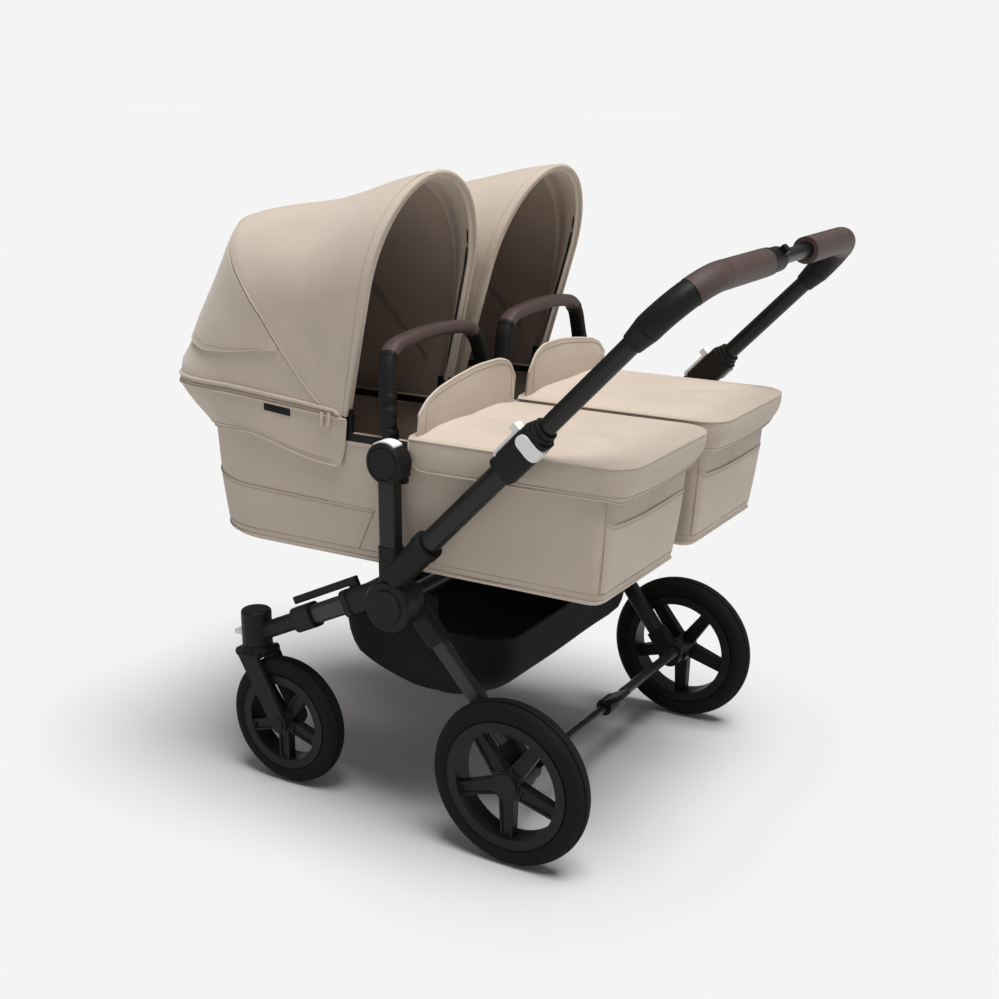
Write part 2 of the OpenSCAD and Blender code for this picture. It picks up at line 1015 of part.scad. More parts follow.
module caster_housings() {
    color(black)
        for (side = [1, -1])
            on_side(side) {
                front_collar();
                difference() {
                    union() {
                        at_caster()
                            translate([0, 0, caster_z])
                                rotate_extrude($fn = hull_fn) {
                                    square([caster_r, caster_h - caster_dome]);
                                    square([caster_r - caster_dome, caster_h]);
                                    translate([caster_r - caster_dome, caster_h - caster_dome])
                                        circle(caster_dome);
                                }
                        along_front()
                            oval_bar(
                                arm_d,
                                arm_w,
                                front_corner,
                                front_join_s + front_seat + front_wall / 2,
                                front_len,
                                $fn = hull_fn
                            );
                    }
                    at_caster()
                        translate([0, 0, caster_z - over])
                            cylinder(r = stem_r + run, h = stem_h + over);
                    at_lock(1)
                        translate([-lock_w / 2 - gap, -caster_r, -lock_h / 2])
                            cube([lock_w + 2 * gap, caster_r + lock_pin_r + gap, lock_h]);
                }
            }
}

// The swivel lock's pin, inside the front of the caster housing.
module at_lock(side) {
    on_side(side)
        at_caster()
            translate([0, lock_in / 2 - caster_r, caster_z + lock_z]) children();
}

module swivel_lock(side) {
    color(white)
        at_lock(side) {
            x_rod(lock_pin_r, -lock_w / 2, lock_w / 2);
            translate([-lock_w / 2, -lock_l, -lock_t / 2]) cube([lock_w, lock_l, lock_t]);
        }
}

// The fork's axle, in the caster's frame.
module at_front_axle() {
    translate([0, trail, front_r]) children();
}

// Outline of a fork blade, from the crown to a round tip at the axle.
module blade_outline() {
    top_z = blade_top_z + crown_low;
    run_y = trail;
    run_z = front_r - top_z;
    tip = blade_tip_r / norm([run_y, run_z]);
    polygon([
        [-crown_d / 2, top_z],
        [crown_d / 2, top_z],
        [trail - run_z * tip, front_r + run_y * tip],
        [trail + run_z * tip, front_r - run_y * tip]
    ]);
    translate([trail, front_r]) circle(blade_tip_r);
}

module fork(side) {
    blade_out = blade_gap + blade_t;
    color(black)
        on_side(side)
            at_caster() {
                difference() {
                    union() {
                        translate([0, 0, blade_top_z])
                            cylinder(r = stem_r, h = caster_z + stem_h - gap - blade_top_z);
                        hull() {
                            translate([0, 0, blade_top_z + crown_h - leaf])
                                cylinder(r = caster_r - neck_step, h = leaf, $fn = hull_fn);
                            translate([0, 0, blade_top_z])
                                linear_extrude(crown_low)
                                    round_rect(crown_w, crown_d, crown_corner, $fn = hull_fn);
                        }
                        translate([0, -front_lobe_y, front_lobe_z])
                            x_rod(front_lobe_r, -lobe_w / 2, lobe_w / 2);
                        translate([0, rear_lobe_y, rear_lobe_z])
                            x_rod(rear_lobe_r, -lobe_w / 2, lobe_w / 2);
                        x_plate(blade_gap, blade_out) blade_outline();
                        x_plate(-blade_out, -blade_gap) blade_outline();
                    }
                    at_front_axle() x_rod(front_axle_r + run, -blade_out - over, blade_out + over);
                }
                at_front_axle() {
                    x_rod(front_axle_r, -blade_out - fit, blade_out + fit);
                    x_disc(
                        front_axle_head_r,
                        blade_out + fit,
                        blade_out + fit + front_axle_head_t,
                        front_axle_head_t / 2
                    );
                    mirror([1, 0, 0])
                        x_disc(
                            front_axle_head_r,
                            blade_out + fit,
                            blade_out + fit + front_axle_head_t,
                            front_axle_head_t / 2
                        );
                }
            }
}

// Wheels: the axis is local Z, and local X points down on the stroller

module tyre(r, section, seat_r) {
    half = section * rim_half_share;
    groove_r = r - section * (1 - sqrt(1 - groove_share * groove_share)) - groove_depth;
    color(rubber)
        rotate_extrude()
            difference() {
                union() {
                    translate([r - section, 0]) circle(section);
                    translate([seat_r + fit, -half]) square([r - section - seat_r, 2 * half]);
                }
                translate([0, -section - over])
                    square([seat_r + fit, 2 * (section + over)]);
                for (y = [half, -half - section])
                    translate([0, y]) square([seat_r + rim_lip + fit, section]);
                for (y = [-1, 1])
                    translate([groove_r, y * section * groove_share - groove_w / 2])
                        square([section, groove_w]);
            }
}

// Outline of one spoke, narrowed by an inset on each side.
module spoke(root_r, tip_r, root_w, inset) {
    polygon([
        [root_r + inset, inset - root_w / 2],
        [tip_r - inset, inset - spoke_tip_w / 2],
        [tip_r - inset, spoke_tip_w / 2 - inset],
        [root_r + inset, root_w / 2 - inset]
    ]);
}

// A moulded wheel with hollow-faced spokes. The hub runs from z0 to z1.
module rim(seat_r, section, open_r, hub_radius, z0, z1, bore_r, bore_z) {
    half = section * rim_half_share;
    root_w = hub_radius * spoke_root_share;
    color(black)
        difference() {
            union() {
                rotate_extrude()
                    polygon([
                        [open_r, -half - rim_lip_w],
                        [seat_r + rim_lip, -half - rim_lip_w],
                        [seat_r + rim_lip, -half - fit],
                        [seat_r, -half - fit],
                        [seat_r, half + fit],
                        [seat_r + rim_lip, half + fit],
                        [seat_r + rim_lip, half + rim_lip_w],
                        [open_r, half + rim_lip_w]
                    ]);
                translate([0, 0, z0]) cylinder(r = hub_radius, h = z1 - z0);
                translate([0, 0, z1]) cylinder(r = hub_radius - hub_ring, h = hub_cap_t);
                for (k = [0 : spoke_count - 1])
                    rotate(k * 360 / spoke_count)
                        translate([0, 0, z1 - spoke_step - spoke_t])
                            linear_extrude(spoke_t) spoke(hub_radius / 2, (open_r + seat_r) / 2, root_w, 0);
            }
            for (k = [0 : spoke_count - 1])
                rotate(k * 360 / spoke_count)
                    translate([0, 0, z1 - spoke_step - spoke_recess])
                        linear_extrude(spoke_recess + over) spoke(hub_radius, open_r, root_w, spoke_rib);
            translate([0, 0, z0 - over]) cylinder(r = bore_r + run, h = bore_z - z0 + over);
        }
}

module at_front_wheel(side) {
    on_side(side)
        at_caster()
            at_front_axle()
                rotate([0, 90, 0]) children();
}

module at_rear_wheel(side) {
    on_side(side)
        translate([rear_x, axle_y, axle_z])
            rotate([0, 90, 0]) children();
}

module front_tyre(side) {
    at_front_wheel(side) tyre(front_r, front_section, front_rim_r);
}

module front_rim(side) {
    at_front_wheel(side)
        rim(
            front_rim_r,
            front_section,
            front_open_r,
            front_hub_r,
            -front_hub_half,
            front_hub_half - hub_cap_t,
            front_axle_r,
            front_hub_half + over
        );
}

module rear_tyre(side) {
    at_rear_wheel(side) tyre(rear_r, rear_section, rear_rim_r);
}

module rear_rim(side) {
    at_rear_wheel(side)
        rim(
            rear_rim_r,
            rear_section,
            rear_open_r,
            rear_hub_r,
            rear_hub_in - rear_x,
            rear_hub_out - rear_x,
            axle_r,
            axle_end_x + gap - rear_x
        );
}

// Rear legs and brake

module along_rear() {
    aim(rear_root, rear_end) children();
}

module rear_sockets() {
    color(black)
        for (side = [1, -1])
            on_side(side)
                difference() {
                    union() {
                        at_hub() x_rod(lug_r, rear_lug_in, rear_lug_out);
                        along_rear()
                            oval_bar(
                                rear_d + 2 * rear_wall,
                                rear_w + rear_wall,
                                rear_corner,
                                rear_block_s,
                                rear_collar_s
                            );
                    }
                    at_hub() x_rod(bolt_r + run, rear_lug_in - over, rear_lug_out + over);
                    along_rear()
                        oval_bar(
                            rear_d + 2 * fit,
                            rear_w + 2 * fit,
                            rear_corner,
                            rear_collar_s - rear_seat,
                            rear_collar_s + over
                        );
                }
}

module rear_tubes() {
    color(gunmetal)
        for (side = [1, -1])
            on_side(side)
                along_rear()
                    oval_bar(
                        rear_d,
                        rear_w,
                        rear_corner,
                        rear_collar_s - rear_seat + fit,
                        rear_len - rear_foot_s + rear_seat - fit
                    );
}

module at_rear_axle() {
    translate([0, axle_y, axle_z]) children();
}

module at_brake() {
    translate([0, brake_y, brake_z]) children();
}

module axle_housings() {
    in_x = rear_end_x - housing_w / 2;
    out_x = rear_end_x + housing_w / 2;
    for (side = [1, -1])
        on_side(side) {
            color(black)
                difference() {
                    union() {
                        at_rear_axle() x_disc(housing_r, in_x, out_x, edge / 2);
                        along_rear()
                            oval_bar(
                                rear_d + 2 * rear_wall,
                                rear_w + rear_wall,
                                rear_corner,
                                rear_len - rear_foot_s,
                                rear_len
                            );
                        at_brake() x_rod(brake_boss_r, rear_end_x - brake_boss_w, rear_end_x);
                    }
                    along_rear()
                        oval_bar(
                            rear_d + 2 * fit,
                            rear_w + 2 * fit,
                            rear_corner,
                            rear_len - rear_foot_s - over,
                            rear_len - rear_foot_s + rear_seat
                        );
                    at_rear_axle() x_rod(axle_r + fit, out_x - axle_seat, out_x + over);
                    at_brake() x_rod(brake_r + run, 0, brake_half + gap);
                }
            color(steel) at_rear_axle() x_rod(axle_r, out_x - axle_seat + fit, axle_end_x);
        }
}

module brake_bar() {
    color(black)
        at_brake() {
            x_rod(brake_r, -brake_half, brake_half);
            x_rod(sleeve_r, gap + brake_boss_w - rear_end_x, -pedal_x);
        }
}

module brake_pedal() {
    color(black)
        at_brake()
            translate([pedal_x, 0, 0])
                difference() {
                    union() {
                        x_rod(pedal_ring_r, -pedal_ring_w / 2, pedal_ring_w / 2);
                        rotate([pedal_tilt, 0, 0])
                            translate([0, pedal_l / 2, pedal_ring_r - pedal_t - pedal_drop])
                                linear_extrude(pedal_t) round_rect(pedal_w, pedal_l, pedal_t);
                    }
                    x_rod(brake_r + fit, -pedal_w, pedal_w);
                }
}

// Basket

// One level of the basket, shrunk by shares of its mouth's width and length, and an inset.
module basket_level(z, width_share, length_share, inset) {
    length = (basket_front + basket_rear) * length_share - 2 * inset;
    translate([0, (basket_rear - basket_front) / 2, z])
        linear_extrude(leaf)
            round_rect(2 * (basket_w * width_share - inset), length, basket_corner, $fn = hull_fn);
}

module basket_form(inset, rise) {
    hull() {
        basket_level(basket_z + inset, basket_floor_w, basket_floor_l, inset);
        basket_level(basket_mid_z, basket_mid_w, basket_mid_l, inset);
        basket_level(basket_top_z - leaf + rise, 1, 1, inset);
    }
}

module basket() {
    hanger_top = hub_z - cross_r - gap;
    color(dark_cloth)
        difference() {
            union() {
                basket_form(0, 0);
                for (x = [-basket_w, basket_w - basket_t])
                    translate([x, -hanger_w / 2, basket_top_z - over])
                        cube([basket_t, hanger_w, hanger_top - basket_top_z + over]);
            }
            basket_form(basket_t, over);
        }
}

// Bassinets: each is drawn about its own middle plane

module at_bassinet(side) {
    on_side(side)
        translate([bass_x, 0, 0]) children();
}

// Plan of the bassinet, with large corners at the head and small ones at the foot.
module plan(w, head, foot, corner) {
    head_corner = w * head_corner_share;
    hull()
        for (x = [-1, 1]) {
            translate([x * (w - head_corner), head_corner - head]) circle(head_corner, $fn = 2 * hull_fn);
            translate([x * (w - corner), foot - corner]) circle(corner, $fn = hull_fn);
        }
}

// One level of the bassinet's wall between floor and rim, with an inset.
module tub_level(z, inset) {
    up = (z - tub_z) / (rim_z - tub_z);
    translate([0, 0, z])
        linear_extrude(leaf)
            plan(
                floor_w + (rim_w - floor_w) * up - inset,
                floor_head + (rim_head - floor_head) * up - inset,
                floor_foot + (wall_foot - floor_foot) * up - inset,
                tub_corner + (wall_corner - tub_corner) * up
            );
}

module bassinet_tub(side) {
    color(cloth)
        at_bassinet(side)
            difference() {
                hull() {
                    tub_level(tub_z, edge_round);
                    tub_level(tub_z + edge_round, 0);
                    tub_level(rim_z - leaf, 0);
                }
                hull() {
                    tub_level(tub_z + tub_t, edge_round + tub_t);
                    tub_level(tub_z + edge_round + tub_t, tub_t);
                    tub_level(rim_z, tub_t);
                }
            }
}

module bassinet_frame(side) {
    color(black)
        at_bassinet(side) {
            translate([0, 0, rim_z])
                linear_extrude(hoop_h)
                    difference() {
                        plan(rim_w, rim_head, rim_foot, foot_corner);
                        plan(rim_w - hoop_w, rim_head - hoop_w, rim_foot - hoop_w, foot_corner);
                    }
            for (x = [0, 1])
                mirror([x, 0, 0]) {
                    translate([rim_w, -bracket_d / 2, ledge_z])
                        cube([bracket_out - rim_w, bracket_d, hoop_z - ledge_z]);
                    translate([rim_w - ear_t, -carry_y - ear_r, rim_z])
                        cube([ear_t, 2 * ear_r, hoop_h + carry_pin_rise]);
                    at_carry_pin() x_rod(ear_r, rim_w - ear_t, rim_w);
                    at_carry_pin() x_rod(carry_pin_r, rim_w - over, bracket_out - over);
                    translate([rim_w - ear_t, -hood_y - ear_d / 2, rim_z])
                        cube([ear_t, ear_d, hood_z - rim_z + ear_d / 2]);
                    translate([0, -hood_y, hood_z])
                        x_rod(hood_pin_r, rim_w - ear_t - gap - boss_w, rim_w - ear_t + over);
                }
        }
}

module mattress(side) {
    low_z = tub_z + tub_t + gap;
    color(white)
        at_bassinet(side)
            hull() {
                tub_level(low_z, edge_round + mattress_gap);
                tub_level(low_z + mattress_round, mattress_gap + tub_t);
                tub_level(low_z + mattress_t - mattress_round, mattress_gap + tub_t);
                tub_level(low_z + mattress_t, mattress_round + mattress_gap + tub_t);
            }
}

// Foot cover

module apron_level(z, inset, tuck, corner) {
    translate([0, 0, z])
        linear_extrude(leaf)
            plan(rim_w + apron_out - inset, rim_head, rim_foot + apron_out - inset - tuck, corner);
}

module flap() {
    flap_top = flap_h + apron_top;
    translate([0, apron_y + flap_in + flap_t, hoop_z + gap])
        rotate([90 + flap_lean, 0, 0])
            linear_extrude(flap_t)
                intersection() {
                    hull()
                        for (x = [-1, 1])
                            translate([x * (flap_w - flap_corner), flap_top - flap_corner])
                                circle(flap_corner, $fn = hull_fn);
                    translate([-flap_w, flap_foot]) square([2 * flap_w, flap_top]);
                }
}

module apron(side) {
    top_z = hoop_z + apron_top;
    color(cloth)
        at_bassinet(side)
            union() {
                intersection() {
                    difference() {
                        hull() {
                            apron_level(apron_hem_z, 0, apron_tuck, apron_hem_corner);
                            apron_level(rim_z - tub_t, 0, 0, foot_corner);
                            apron_level(top_z - apron_round, 0, 0, foot_corner);
                            apron_level(top_z - leaf, apron_round, 0, foot_corner);
                            apron_level(top_z + apron_crown, crown_inset, 0, foot_corner);
                        }
                        hull() {
                            apron_level(apron_hem_z - over, tub_t, apron_tuck, apron_hem_corner);
                            apron_level(rim_z - tub_t, tub_t, 0, foot_corner);
                            apron_level(hoop_z + gap - leaf, tub_t, 0, foot_corner);
                        }
                    }
                    x_plate(-2 * rim_w, 2 * rim_w)
                        hull() {
                            translate([apron_y + apron_corner, apron_hem_z + apron_corner])
                                circle(apron_corner);
                            translate([apron_y, hoop_z]) square([2 * rim_foot, rim_w]);
                            translate([rim_foot, apron_hem_z]) square([rim_foot, rim_w]);
                        }
                }
                flap();
            }
}

// Hood

// Angle of the front bow on one side.
function rim_bow_a(side) = side > 0 ? left_bow_a : right_bow_a;

// Distance from the hinge to the hood's ridge at an angle.
function hood_reach(side, a) =
    let (
        f = (a - rim_bow_a(side)) / (mid_bow_a - rim_bow_a(side)),
        b = (a - mid_bow_a) / (lip_a - mid_bow_a),
        c = (a - lip_a) / (base_a - lip_a)
    )
    a < mid_bow_a
        ? (rim_bow_r + (mid_bow_r - rim_bow_r) * f) * (1 - sag_share * sin(180 * f))
        : a < lip_a
            ? (mid_bow_r + (lip_r - mid_bow_r) * b) * (1 - back_sag_share * sin(180 * b))
            : lip_r + (base_r - lip_r) * pow(c, lip_power);

// A point of an arch that leans by an angle about the hinge: two straight legs and half an ellipse.
function arch(j, w, reach, a, foot) =
    let (
        t = min(max(180 * (j - leg_steps) / (arch_steps - 2 * leg_steps), 0), 180),
        down = max(leg_steps - j, j - arch_steps + leg_steps, 0) / leg_steps,
        up = reach * (side_share + (foot - side_share) * down + (1 - side_share) * sin(t))
    )
    [w * cos(t), up * cos(a) - hood_y, hood_z + up * sin(a)];

function arch_row(side, a, inset) =
    [for (j = [0 : arch_steps]) arch(j, hood_w - inset, hood_reach(side, a) - inset, a, foot_share)];

function hood_grid(side, a0, a1, rows, inset) =
    [for (i = [0 : rows]) arch_row(side, a0 + (a1 - a0) * i / rows, inset)];

// The skirt hangs from the hood's base, is deepest beside the hinge and draws in to the tub's head.
function skirt_point(p, f, inset) =
    let (
        share = -(p[1] + hood_y) / base_r,
        pull = 1 - (rim_head + skirt_clear - inset - hood_y) / base_r
    )
    [
        p[0] * (1 - skirt_in / hood_w * f),
        -hood_y - share * base_r * (1 - pull * share * pow(f, skirt_power)),
        p[2] - (skirt_side + (skirt_front - skirt_side) * share) * f
    ];

function skirt_grid(side, inset) =
    [for (k = [1 : skirt_rows])
        [for (p = arch_row(side, base_a, inset)) skirt_point(p, k / skirt_rows, inset)]];

function front_grid(side, inset) =
    hood_grid(side, rim_bow_a(side), mid_bow_a - seam_gap_a, front_rows, inset);

function back_grid(side, inset) =
    concat(
        hood_grid(side, mid_bow_a + seam_gap_a, lip_a, back_rows, inset),
        hood_grid(side, lip_a + lip_step, base_a, lip_rows - 1, inset),
        skirt_grid(side, inset)
    );

module hood_front(side) {
    color(cloth) at_bassinet(side) sheet(front_grid(side, 0), front_grid(side, cloth_t));
}

module hood_back(side) {
    color(cloth) at_bassinet(side) sheet(back_grid(side, 0), back_grid(side, cloth_t));
}

// Rings of the front bow, square to the arch.
function bow_ring(side, j) =
    let (
        w = rim_w - ear_t - 2 * gap - bow_r,
        reach = rim_bow_r - cloth_t - bow_in - bow_r,
        a = rim_bow_a(side),
        p = arch(j, w, reach, a, 0),
        q0 = arch(max(j - bow_step, 0), w, reach, a, 0),
        q1 = arch(min(j + bow_step, arch_steps), w, reach, a, 0),
        along = (q1 - q0) / norm(q1 - q0),
        across = [0, -sin(a), cos(a)],
        out = cross(along, across)
    )
    [for (k = [0 : bow_sides - 1])
        let (b = 360 * k / bow_sides)
        p + bow_r * (cos(b) * out + sin(b) * across)];

// A bar swept through rings of points, with flat ends.
module swept(rings) {
    n = len(rings[0]);
    last = len(rings) - 1;
    walls = [for (i = [0 : last - 1], k = [0 : n - 1])
        let (a = i * n + k, b = i * n + (k + 1) % n)
        each [[a, b, a + n], [b, b + n, a + n]]];
    ends = [[for (k = [n - 1 : -1 : 0]) k], [for (k = [0 : n - 1]) last * n + k]];
    polyhedron([for (r = rings) each r], concat(walls, ends));
}

module hood_bow(side) {
    color(black)
        at_bassinet(side)
            difference() {
                union() {
                    swept([for (j = [0 : arch_steps]) bow_ring(side, j)]);
                    for (x = [0, 1])
                        mirror([x, 0, 0])
                            translate([0, -hood_y, hood_z])
                                x_rod(boss_r, rim_w - ear_t - gap - boss_w, rim_w - ear_t - gap);
                }
                for (x = [0, 1])
                    mirror([x, 0, 0])
                        translate([0, -hood_y, hood_z])
                            x_rod(hood_pin_r + run, rim_w - ear_t - gap - 2 * boss_w, rim_w);
            }
}

// Carry handle

// Stations along the handle from the left leg to the right one: X, height above the pins, angle of
// the outward side.
carry_leg_low = [carry_x - neck_h / 2 * sin(carry_tilt), neck_h / 2 * cos(carry_tilt), carry_tilt];
carry_bend_x = carry_x - carry_leg * sin(carry_tilt) - carry_bend_r * cos(carry_tilt);
carry_bend_z = carry_leg * cos(carry_tilt) - carry_bend_r * sin(carry_tilt);
carry_top_r = (carry_bend_x + carry_bend_r * sin(carry_top_a)) / sin(carry_top_a);
carry_top_z = carry_bend_z - (carry_top_r - carry_bend_r) * cos(carry_top_a);
carry_bend = [for (k = [0 : carry_steps])
    let (t = carry_tilt + (90 - carry_tilt - carry_top_a) * k / carry_steps)
    [carry_bend_x + carry_bend_r * cos(t), carry_bend_z + carry_bend_r * sin(t), t]];
carry_top = [for (k = [1 : carry_steps - 1])
    let (t = 90 - carry_top_a + 2 * carry_top_a * k / carry_steps)
    [carry_top_r * cos(t), carry_top_z + carry_top_r * sin(t), t]];
carry_half = concat([carry_leg_low], carry_bend);
carry_path = concat(
    carry_half,
    carry_top,
    [for (k = [len(carry_half) - 1 : -1 : 0])
        [-carry_half[k][0], carry_half[k][1], 180 - carry_half[k][2]]]
);

// Ring of the handle's oval section at a station.
function carry_ring(p) =
    [for (c = [0 : 3], k = [0 : carry_round])
        let (
            t = 90 * (c + k / carry_round),
            x = (carry_w / 2 - carry_corner) * (c == 0 || c == 3 ? 1 : -1) + carry_corner * cos(t),
            y = (carry_d / 2 - carry_corner) * (c < 2 ? 1 : -1) + carry_corner * sin(t)
        )
        [p[0] + x * cos(p[2]), -y, p[1] + x * sin(p[2])]];

module at_carry_pin() {
    translate([0, -carry_y, carry_pin_z]) children();
}

// The carry handle leans about its pins.
module at_carry(side) {
    at_bassinet(side)
        at_carry_pin()
            rotate([side > 0 ? left_lean : right_lean, 0, 0]) children();
}

module carry_handle(side) {
    eye_w = carry_eye_out - carry_eye_in;
    color(black)
        at_carry(side)
            difference() {
                union() {
                    for (x = [0, 1])
                        mirror([x, 0, 0]) {
                            x_rod(carry_eye_r, carry_eye_in, carry_eye_out);
                            translate([carry_eye_in, -neck_w / 2, 0]) cube([eye_w, neck_w, neck_h]);
                        }
                    swept([for (p = carry_path) carry_ring(p)]);
                }
                for (x = [0, 1])
                    mirror([x, 0, 0]) x_rod(carry_pin_r + run, carry_eye_in - over, carry_eye_out + over);
            }
}

hub_yoke(1);  // hub_yoke_left
hub_yoke(-1);  // hub_yoke_right
pivot_bolts();
seat_posts();
post_heads();
centre_post();
cross_tubes();
lower_handle_tubes();
handle_clamp(1);  // handle_clamp_left
handle_clamp(-1);  // handle_clamp_right
front_sockets();
front_tubes();
caster_housings();
basket();
seat_button(1);  // seat_button_left
seat_button(-1);  // seat_button_right
rear_sockets();
rear_tubes();
axle_housings();
brake_bar();
brake_pedal();
fork(1);  // fork_left
fork(-1);  // fork_right
swivel_lock(1);  // swivel_lock_left
swivel_lock(-1);  // swivel_lock_right
front_tyre(1);  // front_tyre_left
front_tyre(-1);  // front_tyre_right
front_rim(1);  // front_rim_left
front_rim(-1);  // front_rim_right
rear_tyre(1);  // rear_tyre_left
rear_tyre(-1);  // rear_tyre_right
rear_rim(1);  // rear_rim_left
rear_rim(-1);  // rear_rim_right
handle_arm(1);  // handle_arm_left
handle_arm(-1);  // handle_arm_right
elbow_covers();
grip(1);  // grip_left
grip(-1);  // grip_right
crossbar_tube();
twist_clip();
clamp_lever(1);  // clamp_lever_left
clamp_lever(-1);  // clamp_lever_right
fold_button(1);  // fold_button_left
fold_button(-1);  // fold_button_right
bassinet_tub(1);  // bassinet_tub_left
bassinet_tub(-1);  // bassinet_tub_right
bassinet_frame(1);  // bassinet_frame_left
bassinet_frame(-1);  // bassinet_frame_right
mattress(1);  // mattress_left
mattress(-1);  // mattress_right
apron(1);  // apron_left
apron(-1);  // apron_right
hood_back(1);  // hood_back_left
hood_back(-1);  // hood_back_right
hood_front(1);  // hood_front_left
hood_front(-1);  // hood_front_right
hood_bow(1);  // hood_bow_left
hood_bow(-1);  // hood_bow_right
carry_handle(1);  // carry_handle_left
carry_handle(-1);  // carry_handle_right
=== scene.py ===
import json
import math

import bmesh
import bpy
import numpy as np
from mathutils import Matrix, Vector


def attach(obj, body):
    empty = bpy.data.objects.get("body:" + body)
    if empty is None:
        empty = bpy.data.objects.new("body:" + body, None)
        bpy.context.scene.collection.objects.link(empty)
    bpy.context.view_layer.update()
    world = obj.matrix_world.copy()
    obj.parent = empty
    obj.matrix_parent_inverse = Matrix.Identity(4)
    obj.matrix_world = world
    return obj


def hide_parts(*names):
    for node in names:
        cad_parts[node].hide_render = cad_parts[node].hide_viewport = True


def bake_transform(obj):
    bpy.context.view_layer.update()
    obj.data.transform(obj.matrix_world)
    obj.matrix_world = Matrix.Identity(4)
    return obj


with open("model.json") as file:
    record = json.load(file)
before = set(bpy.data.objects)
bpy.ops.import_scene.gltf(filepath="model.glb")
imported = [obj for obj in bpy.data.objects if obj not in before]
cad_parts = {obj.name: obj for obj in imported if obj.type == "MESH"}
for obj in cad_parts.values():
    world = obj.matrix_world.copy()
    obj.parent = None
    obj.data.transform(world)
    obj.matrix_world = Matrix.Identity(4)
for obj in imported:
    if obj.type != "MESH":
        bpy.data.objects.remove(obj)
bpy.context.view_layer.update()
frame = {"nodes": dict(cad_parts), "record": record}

# Sizes are in millimetres, as in the part's source, and become metres in mesh_object.
MM = 0.001
BASS_X = 175.75
NAMES = {1: "left", -1: "right"}

# Hood: angles about its hinge, from the rear, and lengths from the hinge
HOOD_Y, HOOD_Z, HOOD_W = 108, 720, 163
RIM_A = {1: 77.5, -1: 73}
MID_A, LIP_A, LIP_END, BASE_A = 134, 163, 173, 176
BASE_DROOP = 3.3
RIM_R, MID_R, LIP_R, LIP_OUT, BASE_R = 405, 429, 421, 449, 455
LIP_POWER = 1.6
SAG, BACK_SAG, SIDE_SHARE = 0.141, 0.035, 0.55
CLOTH_T = 3
FOOT_FRONT, FOOT_FALL = 6, 14
PUFF, PUFF_TOP = 1.5, 0.9
HOOD_RIPPLE = 0.9
FRONT_ROWS, BACK_ROWS, LIP_ROWS, SKIRT_ROWS = 27, 13, 12, 10

# The hood's thick front edge: its reach, fade, facing and stiff band in degrees, and its turn in
EDGE_A, EDGE_FADE, EDGE_SEEN, EDGE_STIFF = 7, 3.5, 8, 4
EDGE_IN_W, EDGE_IN_R, EDGE_AHEAD = 17, 9, 4.2

# The hood's skirt
HEM_DROP, HEM_RISE, HEM_FALL = 85, 20, 6
HEM_RISE_Y, HEM_FALL_Y = (150, 350), (380, 530)
SKIRT_END, SKIRT_POWER, SKIRT_RATE = 480, 1.35, 1.6
SKIRT_IN, SKIRT_LINING = 2.5, 2.0
SKIRT_START, SKIRT_CORNER, SKIRT_BACK, SKIRT_FADE = 100, 26.0, 9, 14.0

# The hood's pleat seam and the vent's hem: angles at shares of the arch's rise
SEAM_RISE = [0.12, 0.18, 0.28, 0.39, 0.52, 0.66, 1]
SEAM_A = [157, 151, 144, 140, 136.5, 135.5, 136]
VENT_RISE = [0.385, 0.45, 0.56, 0.64, 0.745, 0.86, 1]
VENT_A = [140.6, 147.2, 156.6, 160.9, 164.6, 166, 166.5]

# The hood's small pieces
ROLL_UP, ROLL_MIN, ROLL_FRONT = 15, 22, 30
TAPE_A, TAPE_LIFT = 1.9, 1.6
PULL_YS, PULL_Z, PULL_L, PULL_OUT, PULL_R = (-146, -131), 728, 25, 3.2, (1.5, 3.4)
TAG_FRONT, TAG_REAR, TAG_Z, TAG_FALL, TAG_OUT, TAG_T = -272, -216, 729, 0.085, 1.9, 1.5

# Bassinet
TUB_Z, RIM_Z, HOOP_Z = 465, 682, 694
FLOOR_W, RIM_W = 138, 157
FLOOR_HEAD, RIM_HEAD = 457, 474
FLOOR_FOOT, WALL_FOOT, RIM_FOOT = 362, 386, 408
HEAD_SHARE, RIM_CORNER, EDGE_ROUND = 0.98, 60, 16
CORNER_Z, CORNER_R = [TUB_Z, 648, RIM_Z], [18, 28, 45]
WALL_T, WALL_SWELL, WALL_RIPPLE = 4.0, 2.2, 0.8

# The lining over the hoop: heights, and distances in from the rim
LIP = [
    (RIM_Z - 4, 12.9),
    (RIM_Z + 6, 12.7),
    (HOOP_Z - 1, 12.7),
    (HOOP_Z + 1.4, 11.5),
    (HOOP_Z + 2, 8),
    (HOOP_Z + 1.6, 3),
]
LIP_INSIDE, LIP_T, LIP_WALL = 12, 1.2, 0.6

# Tub pockets: places count along the outline, from the middle of the foot
POCKET_LOW = TUB_Z + 26
POCKET_REAR, POCKET_HEAD, POCKET_HEM, POCKET_RISE = 58, 90, 565, 18
POCKET_LEAN, POCKET_GAPE, POCKET_STAND, GAPE_POWER = 2.2, 1.3, 0.7, 0.7
FOOT_POCKET_END, FOOT_HEM, FOOT_HEM_OUT, FOOT_HEM_IN, FOOT_GAPE = 16.5, 596, 18, 6, 1.4
CORNER_PLACE, POST_PLACES = 17, (30, 63)

# Mattress: heights over its base, and distances in from the tub
MATTRESS_Z = TUB_Z + 4.4
MATTRESS = [(0, 30), (2, 24), (8, 15), (14, 12.5), (20, 15)]
MATTRESS += [(25, 22), (28, 34), (29.5, 52), (30, 75)]
MATTRESS_SEAM = (14, 11.8)

